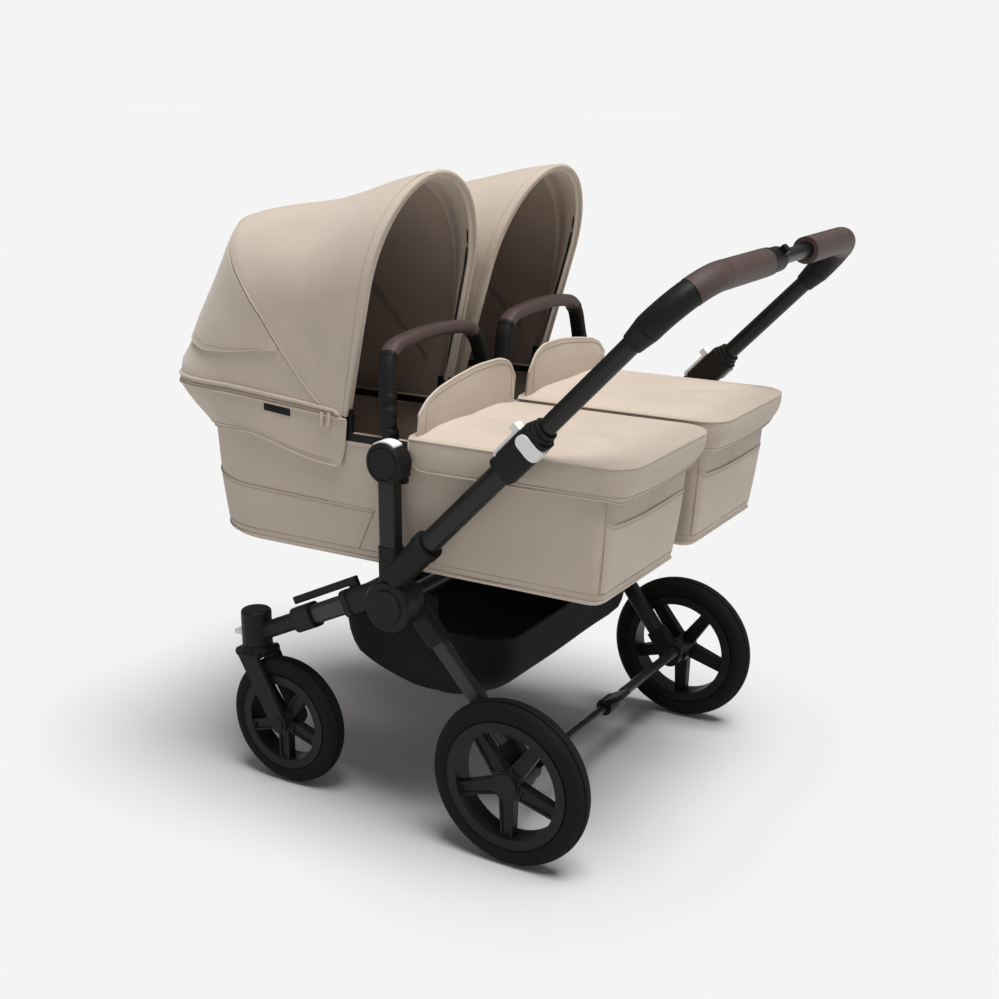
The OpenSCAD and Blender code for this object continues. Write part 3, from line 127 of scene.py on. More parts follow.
# Foot cover
APRON_Y, APRON_HEM, APRON_OUT, APRON_TOP, APRON_CROWN = 24, 651, 4.4, 12, 8
APRON_FOOT, APRON_CORNER, APRON_TUCK, TUCK_POWER = 8, 48, 27, 1.6
APRON_ROUND, APRON_T, HEM_CORNER, HEM_DIP = 9, 2.6, 28, 16
APRON_SWELL, APRON_WAVE, APRON_DISH, APRON_SOFT = 1.6, 0.8, 3.0, 1.3
FOOT_WALL_Y, DIP_Y, DIP_FADE = 300, 380, 20

# The foot cover's wind flap, higher towards the middle of the stroller
FLAP_W, FLAP_T, FLAP_LEAN, FLAP_BOW, FLAP_WAVE = 151, 9, 6, 10, 2.0
FLAP_X = [-153, -148, -135, -97, -25, 38, 99, 135, 150, 153]
FLAP_H = [30, 52, 76, 89, 88, 80, 70, 56, 38, 22]
FLAP_FOOT, FLAP_Y, FLAP_Z = 6, APRON_Y + 10, HOOP_Z + 4

# Carry handle
CARRY_X, CARRY_Y, CARRY_PIN_Z = 163.6, 14, 708
CARRY_LEG, CARRY_TILT, CARRY_BEND_R, CARRY_TOP_A = 100, 12.5, 50, 7.5
CARRY_ROOT, CARRY_W, CARRY_D = 10, 10.6, 14.6
LEATHER_T, RING_T, LEATHER_RING_T = 0.8, 0.4, 1.0
LEATHER_END, RING_PLACES = 19, (3, 6)
EYE_R, EYE_L = 12.6, 8
STITCH_IN = 11.3
LEAN = {1: 9.5, -1: 2.7}

# Basket: heights, and shares of its half width and half length
BASKET_W, BASKET_FRONT, BASKET_REAR, BASKET_CORNER = 255, 199, 158, 50
BASKET = [
    (345, 1, 1),
    (325, 0.995, 0.99),
    (300, 0.985, 0.975),
    (278, 0.97, 0.95),
    (262, 0.95, 0.92),
    (245, 0.915, 0.83),
    (230, 0.88, 0.72),
    (217, 0.85, 0.58),
    (208, 0.83, 0.46),
    (203, 0.80, 0.36),
]
BASKET_TOP, BASKET_DEEP = BASKET[0][0], BASKET[0][0] - BASKET[-1][0]
BASKET_T, BASKET_SHRINK = 2.5, [0.987, 0.984, 1]
STRAP_IN, STRAP_HALF, STRAP_T, STRAP_LOW, STRAP_HIGH = 1.5, 22, 1.2, 338, 406

# Half widths of the sewn trims
TRIM_R = {
    "hood_edge": 4.6,
    "hood_band_seam": 0.7,
    "hood_piping": 2.2,
    "hood_roll": 3.4,
    "skirt_piping": 1.9,
    "skirt_stitch": 0.55,
    "vent_hem": 0.9,
    "vent_stitch": 0.5,
    "zip_track": 1.3,
    "tub_piping": 1.9,
    "tub_base_seam": 0.7,
    "tub_top_seam": 0.7,
    "corner_seam_out": 0.8,
    "corner_seam_in": 0.8,
    "pocket_hem": 0.8,
    "pocket_stitch": 0.4,
    "pocket_edge": 0.9,
    "foot_hem": 0.8,
    "foot_stitch": 0.4,
    "apron_piping": 2.0,
    "apron_hem": 1.8,
    "apron_stitch": 0.5,
    "apron_front": 1.8,
}


# Materials


def paint(name, colour, roughness, sheen=0.0, gloss=0.5):
    """A new material with its tree and its shader."""
    m = bpy.data.materials.new(name)
    m.use_nodes = True
    m.diffuse_color = (*colour, 1)
    shader = m.node_tree.nodes["Principled BSDF"]
    shader.inputs["Base Color"].default_value = (*colour, 1)
    shader.inputs["Roughness"].default_value = roughness
    shader.inputs["Specular IOR Level"].default_value = gloss
    shader.inputs["Sheen Weight"].default_value = sheen
    shader.inputs["Sheen Roughness"].default_value = 0.5
    return m, m.node_tree, shader


def add(tree, kind, inputs=None, **props):
    """A node with its properties, and its inputs as values or links."""
    n = tree.nodes.new(kind)
    for key, value in props.items():
        setattr(n, key, value)
    for key, value in (inputs or {}).items():
        if isinstance(value, bpy.types.NodeSocket):
            tree.links.new(value, n.inputs[key])
        else:
            n.inputs[key].default_value = value
    return n


def noise(tree, where, scale, detail=3.0, stretch=(1, 1, 1)):
    moved = add(tree, "ShaderNodeMapping", {"Vector": where, "Scale": stretch}).outputs[0]
    inputs = {"Vector": moved, "Scale": scale, "Detail": detail}
    return add(tree, "ShaderNodeTexNoise", inputs).outputs[0]


def ramp(tree, value, low, high, start=0.3, end=0.7):
    n = add(tree, "ShaderNodeValToRGB", {"Fac": value})
    for stop, place, colour in zip(n.color_ramp.elements, (start, end), (low, high)):
        stop.position = place
        stop.color = (*colour, 1)
    return n.outputs[0]


def spread(tree, value, low, high):
    inputs = {"Value": value, "To Min": low, "To Max": high}
    return add(tree, "ShaderNodeMapRange", inputs).outputs[0]


def sums(tree, *values):
    total = values[0]
    for v in values[1:]:
        total = add(tree, "ShaderNodeMath", {0: total, 1: v}, operation="ADD").outputs[0]
    return total


def times(tree, a, b):
    return add(tree, "ShaderNodeMath", {0: a, 1: b}, operation="MULTIPLY").outputs[0]


def bump(tree, height, distance, strength=1.0, base=None):
    inputs = {"Height": height, "Distance": distance, "Strength": strength}
    if base is not None:
        inputs["Normal"] = base
    return add(tree, "ShaderNodeBump", inputs).outputs[0]


def shade(colour, k):
    return tuple(min(c * k, 1.0) for c in colour)


def threads(tree, uv, pitch, way):
    """Stripes across one way of the cloth; Blender's wave has a pitch of 2 pi / 20 at scale 1."""
    inputs = {"Vector": uv, "Scale": 2 * math.pi / (20 * pitch)}
    return add(tree, "ShaderNodeTexWave", inputs, bands_direction=way).outputs[1]


def woven(name, colour, pitch, contrast=0.16, rough=0.9, sheen=0.25, depth=0.00025):
    """Melange cloth: threads both ways, flecks along the threads, and a soft uneven hand."""
    m, tree, shader = paint(name, colour, rough, sheen, 0.2)
    uv = add(tree, "ShaderNodeTexCoord").outputs["UV"]
    warp = threads(tree, uv, pitch, "X")
    weft = threads(tree, uv, pitch, "Y")
    along = noise(tree, uv, 1.0, 2.0, (180, 2200, 1))
    across = noise(tree, uv, 1.0, 2.0, (2200, 180, 1))
    cloud = noise(tree, uv, 7.0)
    flecks = times(tree, sums(tree, along, across), 0.5)
    tone = sums(tree, times(tree, flecks, 0.75), times(tree, cloud, 0.25))
    base = ramp(tree, tone, shade(colour, 1 - contrast), shade(colour, 1 + contrast), 0.36, 0.64)
    relief = times(tree, sums(tree, warp, weft, flecks), 0.33)
    hand = bump(tree, noise(tree, uv, 30.0), 0.0012, 0.5)
    tree.links.new(base, shader.inputs["Base Color"])
    tree.links.new(bump(tree, relief, depth, 0.6, hand), shader.inputs["Normal"])
    tree.links.new(spread(tree, flecks, rough - 0.06, rough + 0.06), shader.inputs["Roughness"])
    return m


def moulded(name, colour, rough, grain=1500.0, depth=0.00012, gloss=0.2, edge=0.0012, vary=0.12):
    """Moulded plastic or anodised metal: fine grain, uneven gloss and softened edges."""
    m, tree, shader = paint(name, colour, rough, gloss=gloss)
    here = add(tree, "ShaderNodeTexCoord").outputs["Object"]
    fine = noise(tree, here, grain, 2.0)
    broad = noise(tree, here, 14.0)
    base = ramp(tree, broad, shade(colour, 1 - vary), shade(colour, 1 + vary))
    soft = add(tree, "ShaderNodeBevel", {"Radius": edge}, samples=4).outputs[0]
    tree.links.new(base, shader.inputs["Base Color"])
    tree.links.new(spread(tree, broad, rough - 0.07, rough + 0.07), shader.inputs["Roughness"])
    tree.links.new(bump(tree, fine, depth, 0.5, soft), shader.inputs["Normal"])
    return m


def hide(name, colour, rough):
    """Leather: pebbled cells with fine creases, darker in the creases."""
    m, tree, shader = paint(name, colour, rough, gloss=0.3)
    here = add(tree, "ShaderNodeTexCoord").outputs["Object"]
    inputs = {"Vector": here, "Scale": 480.0, "Randomness": 1.0}
    cells = add(tree, "ShaderNodeTexVoronoi", inputs, feature="DISTANCE_TO_EDGE")
    inputs = {"Value": cells.outputs["Distance"], "From Max": 0.25}
    pebble = add(tree, "ShaderNodeMapRange", inputs).outputs[0]
    broad = noise(tree, here, 40.0, 4.0)
    tone = sums(tree, times(tree, pebble, 0.45), times(tree, broad, 0.55))
    base = ramp(tree, tone, shade(colour, 0.72), shade(colour, 1.22), 0.2, 0.8)
    tree.links.new(base, shader.inputs["Base Color"])
    tree.links.new(spread(tree, broad, rough - 0.1, rough + 0.1), shader.inputs["Roughness"])
    tree.links.new(bump(tree, pebble, 0.0003, 0.6), shader.inputs["Normal"])
    return m


BEIGE = (0.53, 0.445, 0.37)
CLOTH = woven("beige_cloth", BEIGE, 0.0011)
SEAM = woven("beige_seam", shade(BEIGE, 0.8), 0.0008, 0.1)
PIPING = woven("beige_piping", shade(BEIGE, 1.04), 0.0008, 0.1)
LINING = woven("taupe_lining", (0.38, 0.30, 0.25), 0.001, 0.12)
TAPE = woven("taupe_tape", (0.27, 0.21, 0.175), 0.001, 0.12)
COTTON = woven("mattress_cotton", (0.72, 0.70, 0.67), 0.0009, 0.05)
MESH = woven("basket_cloth", (0.006, 0.0057, 0.0057), 0.0016, 0.35, 0.85, 0.05, 0.0005)
TAG = woven("black_tag", (0.008, 0.008, 0.008), 0.0006, 0.2, 0.7, 0.02)
BLACK = moulded("black_plastic", (0.0075, 0.0072, 0.0072), 0.5)
TUBE = moulded("black_tube", (0.0085, 0.0082, 0.0082), 0.32, 3200.0, 0.00004, 0.3, 0.0006)
GUNMETAL = moulded("gunmetal_tube", (0.013, 0.0115, 0.011), 0.34, 3200.0, 0.00004, 0.45, 0.0006)
WHITE = moulded("white_plastic", (0.78, 0.775, 0.765), 0.4, 1500.0, 0.00006, 0.4, 0.0012, 0.03)
RUBBER = moulded("tyre_rubber", (0.0075, 0.0075, 0.0078), 0.78, 900.0, 0.0004, 0.15, 0.001, 0.2)
SOFT_BLACK = moulded("soft_black", (0.009, 0.0088, 0.0088), 0.62, 1100.0, 0.0002, 0.2, 0.001)
RIM = moulded("rim_plastic", (0.0085, 0.0082, 0.0082), 0.45, 1200.0, 0.0001, 0.2)
LEATHER = hide("brown_leather", (0.078, 0.052, 0.046), 0.52)
THREAD = moulded("dark_thread", (0.03, 0.022, 0.02), 0.8, 2500.0, 0.0002)

SLOTS = {
    "frame_black": BLACK,
    "tube_black": TUBE,
    "tube_gunmetal": GUNMETAL,
    "button_white": WHITE,
    "tyre_rubber": RUBBER,
    "rim_black": RIM,
    "grip_leather": LEATHER,
    "cloth_beige": CLOTH,
    "mattress_white": COTTON,
    "basket_cloth": MESH,
}
for part in frame["record"]["subparts"]:
    data = frame["nodes"][part["node"]].data
    data.materials.clear()
    data.materials.append(SLOTS[part["material_slot"]])


# Mesh helpers


def mesh_object(name, points, faces, materials, uv, picks=None, crease=50):
    """An object from points in millimetres, with a UV pair, also in millimetres, for each point."""
    data = bpy.data.meshes.new(name)
    data.from_pydata((np.asarray(points) * MM).tolist(), [], [list(map(int, f)) for f in faces])
    for m in materials:
        data.materials.append(m)
    layer = data.uv_layers.new(name="UVMap")
    order = np.empty(len(data.loops), dtype=int)
    data.loops.foreach_get("vertex_index", order)
    layer.data.foreach_set("uv", (np.asarray(uv) * MM)[order].astype(np.float32).ravel())
    if picks is not None:
        data.polygons.foreach_set("material_index", np.asarray(picks, dtype=np.int32))
    tool = bmesh.new()
    tool.from_mesh(data)
    bmesh.ops.recalc_face_normals(tool, faces=tool.faces)
    tool.to_mesh(data)
    tool.free()
    data.shade_smooth()
    data.set_sharp_from_angle(angle=math.radians(crease))
    piece = bpy.data.objects.new(name, data)
    bpy.context.scene.collection.objects.link(piece)
    return piece


def patch(rows, columns, wrap=False):
    """Quads of a grid, row by row."""
    quads = []
    for i in range(rows - 1):
        for j in range(columns if wrap else columns - 1):
            k = (j + 1) % columns
            here, below = i * columns, (i + 1) * columns
            quads.append((here + j, here + k, below + k, below + j))
    return quads


def pairs(u, v):
    """A UV pair for each point of a grid, from its columns' and rows' places."""
    return np.stack(np.broadcast_arrays(u[None, :], v[:, None]), axis=2).reshape(-1, 2)


def running(lengths):
    return np.concatenate([[0], np.cumsum(lengths)])


def steps_of(points):
    return np.linalg.norm(np.diff(points, axis=0), axis=1)


def flat_uv(grid):
    """UVs of a grid from the lengths along its rows and columns."""
    along = np.linalg.norm(np.diff(grid, axis=1), axis=2).mean(axis=0)
    down = np.linalg.norm(np.diff(grid, axis=0), axis=2).max(axis=1)
    return pairs(running(along), running(down))


def shell(name, outer, inner, materials, pick=None, crease=50):
    """A closed sheet between two grids; pick gives the inner skin's material by row."""
    rows, columns = outer.shape[:2]
    half = rows * columns
    quads = patch(rows, columns)
    skins = quads + [tuple(i + half for i in reversed(q)) for q in quads]
    ring = list(range(columns))
    ring += [i * columns + columns - 1 for i in range(1, rows)]
    ring += [(rows - 1) * columns + j for j in range(columns - 2, -1, -1)]
    ring += [i * columns for i in range(rows - 2, 0, -1)]
    edges = [(a, b, b + half, a + half) for a, b in zip(ring, ring[1:] + ring[:1])]
    uv = np.concatenate([flat_uv(outer)] * 2)
    picks = None
    if pick is not None:
        picks = [0] * len(quads) + [pick(i // (columns - 1)) for i in range(len(quads))]
        picks += [0] * len(edges)
    points = np.concatenate([outer.reshape(-1, 3), inner.reshape(-1, 3)])
    return mesh_object(name, points, skins + edges, materials, uv, picks, crease)


def normals(grid):
    across = np.cross(np.gradient(grid, axis=0), np.gradient(grid, axis=1))
    size = np.linalg.norm(across, axis=2, keepdims=True)
    return across / np.maximum(size, 1e-6)


def unit(ways):
    return ways / np.linalg.norm(ways, axis=-1, keepdims=True)


def sweep(name, path, width, depth, material, sides=10, up=(0, 0, 1), closed=False, corner=1.0):
    """A bar of oval section along a path, with domed ends; a low corner squares the oval."""
    path = np.asarray(path, float)
    n = len(path)
    if closed:
        tangent = unit(np.roll(path, -1, axis=0) - np.roll(path, 1, axis=0))
    else:
        tangent = unit(np.gradient(path, axis=0))
    width = np.broadcast_to(width, n)
    depth = np.broadcast_to(depth, n)
    side = np.cross(tangent[0], up)
    if np.linalg.norm(side) < 1e-3:
        side = np.cross(tangent[0], (1, 0.3, 0.2))
    angle = np.linspace(0, 2 * math.pi, sides, endpoint=False)
    ca = np.sign(np.cos(angle)) * np.abs(np.cos(angle)) ** corner
    sa = np.sign(np.sin(angle)) * np.abs(np.sin(angle)) ** corner
    rings = []
    for i in range(n):
        side = unit(side - tangent[i] * np.dot(side, tangent[i]))
        other = np.cross(tangent[i], side)
        rings.append(path[i] + np.outer(ca * width[i], side) + np.outer(sa * depth[i], other))
    grid = np.array(rings)
    if closed:
        grid = np.concatenate([grid, grid[:1]])
    faces = patch(len(grid), sides, True)
    points = grid.reshape(-1, 3)
    girth = np.linspace(0, 2 * math.pi * float(width.mean()), sides)
    uv = pairs(girth, running(steps_of(grid.mean(axis=1))))
    if not closed:
        for end, ring, way in ((0, 0, -1), (-1, (n - 1) * sides, 1)):
            dome = way * tangent[end] * min(width[end], depth[end])
            middle = path[end] + (grid[end] - path[end]) * 0.72 + dome * 0.35
            start = len(points)
            points = np.concatenate([points, middle, [path[end] + dome * 0.5]])
            uv = np.concatenate([uv, uv[ring:ring + sides], uv[ring:ring + 1]])
            for k in range(sides):
                j = (k + 1) % sides
                faces.append((ring + k, ring + j, start + j, start + k))
                faces.append((start + k, start + j, start + sides))
    return mesh_object(name, points, faces, [material], uv)


def sleeve(name, rings, materials, picks=None):
    """A closed loft of rings with filled ends; picks says each row's material."""
    n = rings[0].shape[0]
    points = np.concatenate(rings)
    faces = patch(len(rings), n, True)
    chosen = [0] * (len(rings) - 1) if picks is None else list(picks)
    ends = [(0, rings[0], chosen[0]), (len(rings) - 1, rings[-1], chosen[-1])]
    chosen = [m for m in chosen for _ in range(n)]
    length = running([np.linalg.norm(b - a, axis=1).max() for a, b in zip(rings, rings[1:])])
    uv = pairs(running(steps_of(rings[len(rings) // 2])), length)
    for first, ring, material in ends:
        start = len(points)
        middle = ring.mean(axis=0)
        shares = (0.8, 0.55, 0.3)
        extra = np.concatenate([middle + (ring - middle) * s for s in shares] + [middle[None, :]])
        points = np.concatenate([points, extra])
        uv = np.concatenate([uv, extra[:, :2]])
        rows = [first * n] + [start + i * n for i in range(len(shares))]
        for a, b in zip(rows, rows[1:]):
            for j in range(n):
                k = (j + 1) % n
                faces.append((a + j, a + k, b + k, b + j))
        for j in range(n):
            faces.append((rows[-1] + j, rows[-1] + (j + 1) % n, start + len(shares) * n))
        chosen += [material] * (n * len(rows))
    return mesh_object(name, points, faces, materials, uv, chosen)


def placed(points, side):
    """From a bassinet's own middle plane to its side of the stroller."""
    out = np.array(points, float)
    out[..., 0] = (out[..., 0] + BASS_X) * side
    return out


def on(piece, body, slot, *nodes):
    """Rides on a body and stands for its nodes; the slot is not used."""
    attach(piece, body)
    if nodes:
        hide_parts(*nodes)
    return piece


def sewing(side, body, extras):
    """Makers of a bassinet's seams and of its sewn-on sheets, which are added to its extras."""
    name = NAMES[side]

    def rope(label, points, material, width=None, depth=None, at=body, closed=False):
        wide = TRIM_R[label] if width is None else width
        deep = wide if depth is None else depth
        path = placed(points, side)
        piece = sweep(label + "_" + name, path, wide, deep, material, 8, closed=closed)
        extras.append(on(piece, at, "cloth_beige"))

    def sheet(label, cover, under, material):
        piece = shell(label + "_" + name, placed(cover, side), placed(under, side), [material])
        extras.append(on(piece, body, "cloth_beige"))

    return rope, sheet


def outward(points, by):
    """Points of a bassinet moved away from its middle plane."""
    return points + np.sign(points) * [by, 0, 0]


def at_height(outline, z):
    return np.concatenate([outline, np.full((len(outline), 1), z)], axis=1)


def share(value, start, end):
    """How far a value has come from start to end, from 0 to 1."""
    return np.clip((value - start) / (end - start), 0, 1)


def ease(t):
    return t * t * (3 - 2 * t)


def wave(x, y, seed=0.0):
    """A smooth unevenness between about -1 and 1."""
    broad = np.sin(x * 1.7 + seed) * np.cos(y * 1.3 - seed * 2)
    broad = broad + np.sin(x * 0.6 - y * 2.1 + seed * 3)
    return (broad + np.sin(x * 2.9 + y * 0.7 + seed * 5) * 0.5) / 2.5


# Hoods: one column for each point of the arch, up one leg, over the top and down the other

LEG, ARC = 22, 64
LEG_DOWN = np.linspace(0, 1, LEG + 1)[1:]
DOWN = np.concatenate([np.linspace(1, 0, LEG + 1)[:-1], np.zeros(ARC + 1), LEG_DOWN])
TURN = np.concatenate([np.zeros(LEG), np.linspace(0, math.pi, ARC + 1), np.full(LEG, math.pi)])
RISE = SIDE_SHARE * (1 - DOWN) + (1 - SIDE_SHARE) * np.sin(TURN)
BASE_LINE = BASE_A + BASE_DROOP * np.sin(TURN)


def hood_reach(side, a):
    """Distance of the hood's ridge from the hinge at an angle."""
    f = share(a, RIM_A[side], MID_A)
    b = share(a, MID_A, LIP_A)
    c = share(a, LIP_A, LIP_END)
    d = share(a, LIP_END, BASE_A + BASE_DROOP)
    front = (RIM_R + (MID_R - RIM_R) * f) * (1 - SAG * np.sin(math.pi * f))
    back = (MID_R + (LIP_R - MID_R) * b) * (1 - BACK_SAG * np.sin(math.pi * b))
    lip = LIP_R + (LIP_OUT - LIP_R) * c ** LIP_POWER + (BASE_R - LIP_OUT) * d
    return np.where(a < MID_A, front, np.where(a < LIP_A, back, lip))


def hood_points(side, a, in_w=0.0, in_r=0.0):
    """One point for each column of the arch, at one angle or at one for each column."""
    a = np.broadcast_to(np.asarray(a, float), DOWN.shape)
    foot = FOOT_FRONT - FOOT_FALL * (a - RIM_A[side]) / (BASE_A - RIM_A[side])
    up = (hood_reach(side, a) - in_r) * RISE + foot * DOWN
    puff = PUFF * np.sin(math.pi * np.clip(RISE / PUFF_TOP, 0, 1)) * np.abs(np.cos(TURN))
    turn = np.radians(a)
    x = (HOOD_W - in_w + puff) * np.cos(TURN)
    return np.stack([x, up * np.cos(turn) - HOOD_Y, HOOD_Z + up * np.sin(turn)], axis=1)


def hood_angles(side):
    """Rows of angles from the rim over the middle bow and the lip to the base with its droop."""
    flat = np.ones(DOWN.shape)
    rows = [flat * a for a in np.linspace(RIM_A[side], MID_A, FRONT_ROWS)]
    rows += [flat * a for a in np.linspace(MID_A, LIP_A, BACK_ROWS)[1:]]
    rows += [LIP_A + (BASE_LINE - LIP_A) * f for f in np.linspace(0, 1, LIP_ROWS)[1:]]
    return rows


def hem_drop(y):
    """The skirt's depth: less along the side, and a little more at the head."""
    rise, fall = ease(share(-y, *HEM_RISE_Y)), ease(share(-y, *HEM_FALL_Y))
    return HEM_DROP - HEM_RISE * rise + HEM_FALL * fall


def skirt_row(top, f, inset=0.0):
    """The skirt at a share of its way down: it draws in to the tub at the head."""
    out = top.copy()
    back = share(-top[:, 1], HOOD_Y, HOOD_Y + BASE_R)
    pull = 1 - (SKIRT_END - inset - HOOD_Y) / BASE_R
    draw = pull * f ** SKIRT_POWER * np.minimum(back * SKIRT_RATE, 1)
    reach = np.maximum(-top[:, 1] - SKIRT_START, 0)
    near = np.clip(SKIRT_CORNER - reach, 0, SKIRT_CORNER)
    rise = SKIRT_CORNER - np.sqrt(np.maximum(SKIRT_CORNER ** 2 - near ** 2, 0))
    out[:, 0] = np.sign(top[:, 0]) * np.maximum(np.abs(top[:, 0]) - SKIRT_IN * f, 0)
    out[:, 1] = -HOOD_Y + (top[:, 1] + HOOD_Y) * (1 - draw)
    out[:, 1] -= SKIRT_BACK * f * np.exp(-reach / SKIRT_FADE)
    out[:, 2] = top[:, 2] - (hem_drop(top[:, 1]) - rise * f) * f
    return out


def build_hood(side):
    name = NAMES[side]
    body, front = "bassinet_" + name, "hood_" + name
    rim = RIM_A[side]
    rows = hood_angles(side)
    outer = [hood_points(side, a) for a in rows]
    inner = []
    for a in rows:
        near = np.clip((rim + EDGE_A - a) / EDGE_FADE, 0, 1)
        inner.append(hood_points(side, a, CLOTH_T + EDGE_IN_W * near, CLOTH_T + EDGE_IN_R * near))
    ahead = np.array([0, EDGE_AHEAD, 0])
    outer[0], inner[0] = outer[0] + ahead, inner[0] + ahead
    top = outer[-1]
    steps = np.linspace(0, 1, SKIRT_ROWS + 1)[1:]
    low = [skirt_row(top, f) for f in steps]
    low_in = [skirt_row(inner[-1], f, SKIRT_LINING) for f in steps]
    grid = placed(np.array(outer + low), side)
    lining = placed(np.array(inner + low_in), side)
    lines, columns = grid.shape[:2]
    ripple = wave(np.arange(columns)[None, :] / 9.0, np.arange(lines)[:, None] / 5.0, side)
    fade = np.sin(np.linspace(0, math.pi, columns))
    grid += normals(grid) * (HOOD_RIPPLE * ripple * fade)[..., None]
    angle = np.array([float(a[0]) for a in rows] + [BASE_A] * len(low))
    facing = angle < rim + EDGE_SEEN
    hood = shell("hood_" + name, grid, lining, [CLOTH, LINING], lambda row: 0 if facing[row] else 1)
    ends = [outer[FRONT_ROWS - 1].mean(axis=0), outer[0].mean(axis=0)]
    ends = placed(np.array(ends), side) * MM
    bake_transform(hood)
    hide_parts("hood_front_" + name, "hood_back_" + name)
    extras = []
    rope, sheet = sewing(side, body, extras)

    rope("hood_edge", hood_points(side, rim, 2.5, 2.5) + ahead, CLOTH, at=front)
    rope("hood_band_seam", hood_points(side, rim + 1.3, 0, -0.2), SEAM, at=front)
    rope("hood_piping", outward(top, 0.8) + [0, -0.6, 0], PIPING)
    lift = np.degrees(ROLL_UP / np.maximum(BASE_R * RISE, ROLL_MIN))
    roll = hood_points(side, np.maximum(BASE_LINE - lift, rim + ROLL_FRONT), -1.0, -1.0)
    rope("hood_roll", roll[RISE * BASE_R > 8], CLOTH)
    edge = [skirt_row(top, f) for f in np.linspace(0.05, 1, 9)]
    trim = np.concatenate([[e[0] for e in edge], low[-1][1:-1], [e[-1] for e in edge[::-1]]])
    rope("skirt_piping", trim, PIPING)
    rope("skirt_stitch", outward(skirt_row(top, 0.9)[3:-3], 0.6), SEAM)
    seam_a = np.interp(RISE, SEAM_RISE, SEAM_A)
    keep = RISE > SEAM_RISE[0]
    fine = (0.15 + 0.6 * np.clip((0.85 - RISE) / 0.3, 0, 1))[keep]
    rope("pleat_seam", hood_points(side, seam_a, -0.4, -0.4)[keep], SEAM, fine)
    rope("pleat_fold", hood_points(side, seam_a - 0.8, -0.5, -0.5)[keep], CLOTH, fine * 1.6)

    # The vent's loose flap lies on the back from the pleat to its own hem.
    first = seam_a + 0.4
    fall = np.interp(RISE, VENT_RISE, VENT_A) - first
    keep = RISE >= VENT_RISE[0]
    cover, under = [], []
    for f in np.linspace(0, 1, 15):
        stand = 1.7 + 1.5 * f
        cover.append(hood_points(side, first + fall * f, -stand, -stand)[keep])
        under.append(hood_points(side, first + fall * f, -0.3, -0.3)[keep])
    sheet("vent_flap", np.array(cover), np.array(under), CLOTH)
    rope("vent_hem", outward(cover[-1], 0.1), CLOTH)
    rope("vent_stitch", cover[-2], SEAM)

    # The middle bow's tape shows inside.
    across = MID_A + np.linspace(-TAPE_A, TAPE_A, 5)
    deep, flush = CLOTH_T + TAPE_LIFT, CLOTH_T - 0.4
    tape = np.array([hood_points(side, a, deep, deep)[6:-6] for a in across])
    back = np.array([hood_points(side, a, flush, flush)[6:-6] for a in across])
    sheet("bow_tape", back, tape, TAPE)

    # Zip: its track under the roll, and two pulls at the outer rear end.
    track = hood_points(side, np.maximum(BASE_LINE - lift * 0.45, rim + ROLL_FRONT), -0.2, -0.2)
    rope("zip_track", track[RISE * BASE_R > 12], SEAM)
    for k, y in enumerate(PULL_YS):
        start = np.array([HOOD_W + PULL_OUT, y, PULL_Z])
        t = np.linspace(0, 1, 9)
        path = start + np.stack([0.6 * np.sin(t * 3), -2.0 * t, -PULL_L * t], axis=1)
        rope("zip_pull_%d" % k, path, PIPING, *PULL_R)

    # A bare tag.
    tag_y = np.linspace(TAG_FRONT, TAG_REAR, 9)
    tag_z = TAG_Z - (tag_y - TAG_FRONT) * TAG_FALL
    tag_x = np.full(len(tag_y), HOOD_W + TAG_OUT)
    tag = np.array([np.stack([tag_x, tag_y, tag_z - d], axis=1) for d in (0, 4, 8, 12.5)])
    sheet("tag", tag, tag - [TAG_T, 0, 0], TAG)


# Tubs


def plan(w, head, foot, corner=RIM_CORNER):
    """The bassinet's outline, from the middle of the foot round by the outer side."""
    r = w * HEAD_SHARE
    out = [(x, foot) for x in np.linspace(0, w - corner, 12)[:-1]]
    for a in np.radians(np.linspace(90, 0, 13)[:-1]):
        out.append((w - corner + corner * math.cos(a), foot - corner + corner * math.sin(a)))
    out += [(w, y) for y in np.linspace(foot - corner, r - head, 41)[:-1]]
    for a in np.radians(np.linspace(0, 90, 31)):
        out.append((w - r + r * math.cos(a), r - head - r * math.sin(a)))
    half = np.array(out)
    return np.concatenate([half, half[-1:0:-1] * [-1, 1]])


def tub_ring(z, inset=0.0):
    """The tub's outline at a height, without its swell."""
    up = (z - TUB_Z) / (RIM_Z - TUB_Z)
    outline = plan(
        FLOOR_W + (RIM_W - FLOOR_W) * up - inset,
        FLOOR_HEAD + (RIM_HEAD - FLOOR_HEAD) * up - inset,
        FLOOR_FOOT + (WALL_FOOT - FLOOR_FOOT) * up - inset,
        np.interp(z, CORNER_Z, CORNER_R),
    )
    return at_height(outline, z)


def wall_ring(z, out=0.0):
    """The tub's outer wall at a height, swollen between its floor and its rim."""
    swell = WALL_SWELL * math.sin(math.pi * share(z, TUB_Z + EDGE_ROUND, RIM_Z))
    return tub_ring(z, -swell - out)


def wall_point(place, z, out):
    ring = wall_ring(z, out)
    k = int(place)
    return ring[k] + (ring[k + 1] - ring[k]) * (place - k)


def rim_ring(z, inset):
    ring = at_height(plan(RIM_W - inset, RIM_HEAD - inset, RIM_FOOT - inset), z)
    return np.concatenate([ring, ring[:1]])


def pocket_skins(places):
    """Both skins of a flat pocket, from each place's position, lean, hem, gape and side."""
    skins = []
    for loose in (True, False):
        rows = []
        for f in np.linspace(0, 1, 9):
            row = []
            for at, lean, hem, gape, x_side in places:
                z = hem + (POCKET_LOW - hem) * f
                out = gape * (1 - f) ** GAPE_POWER + POCKET_STAND if loose else -1.0
                row.append(wall_point(at + lean * f, z, out) * [x_side, 1, 1])
            rows.append(row)
        skins.append(np.array(rows))
    return skins


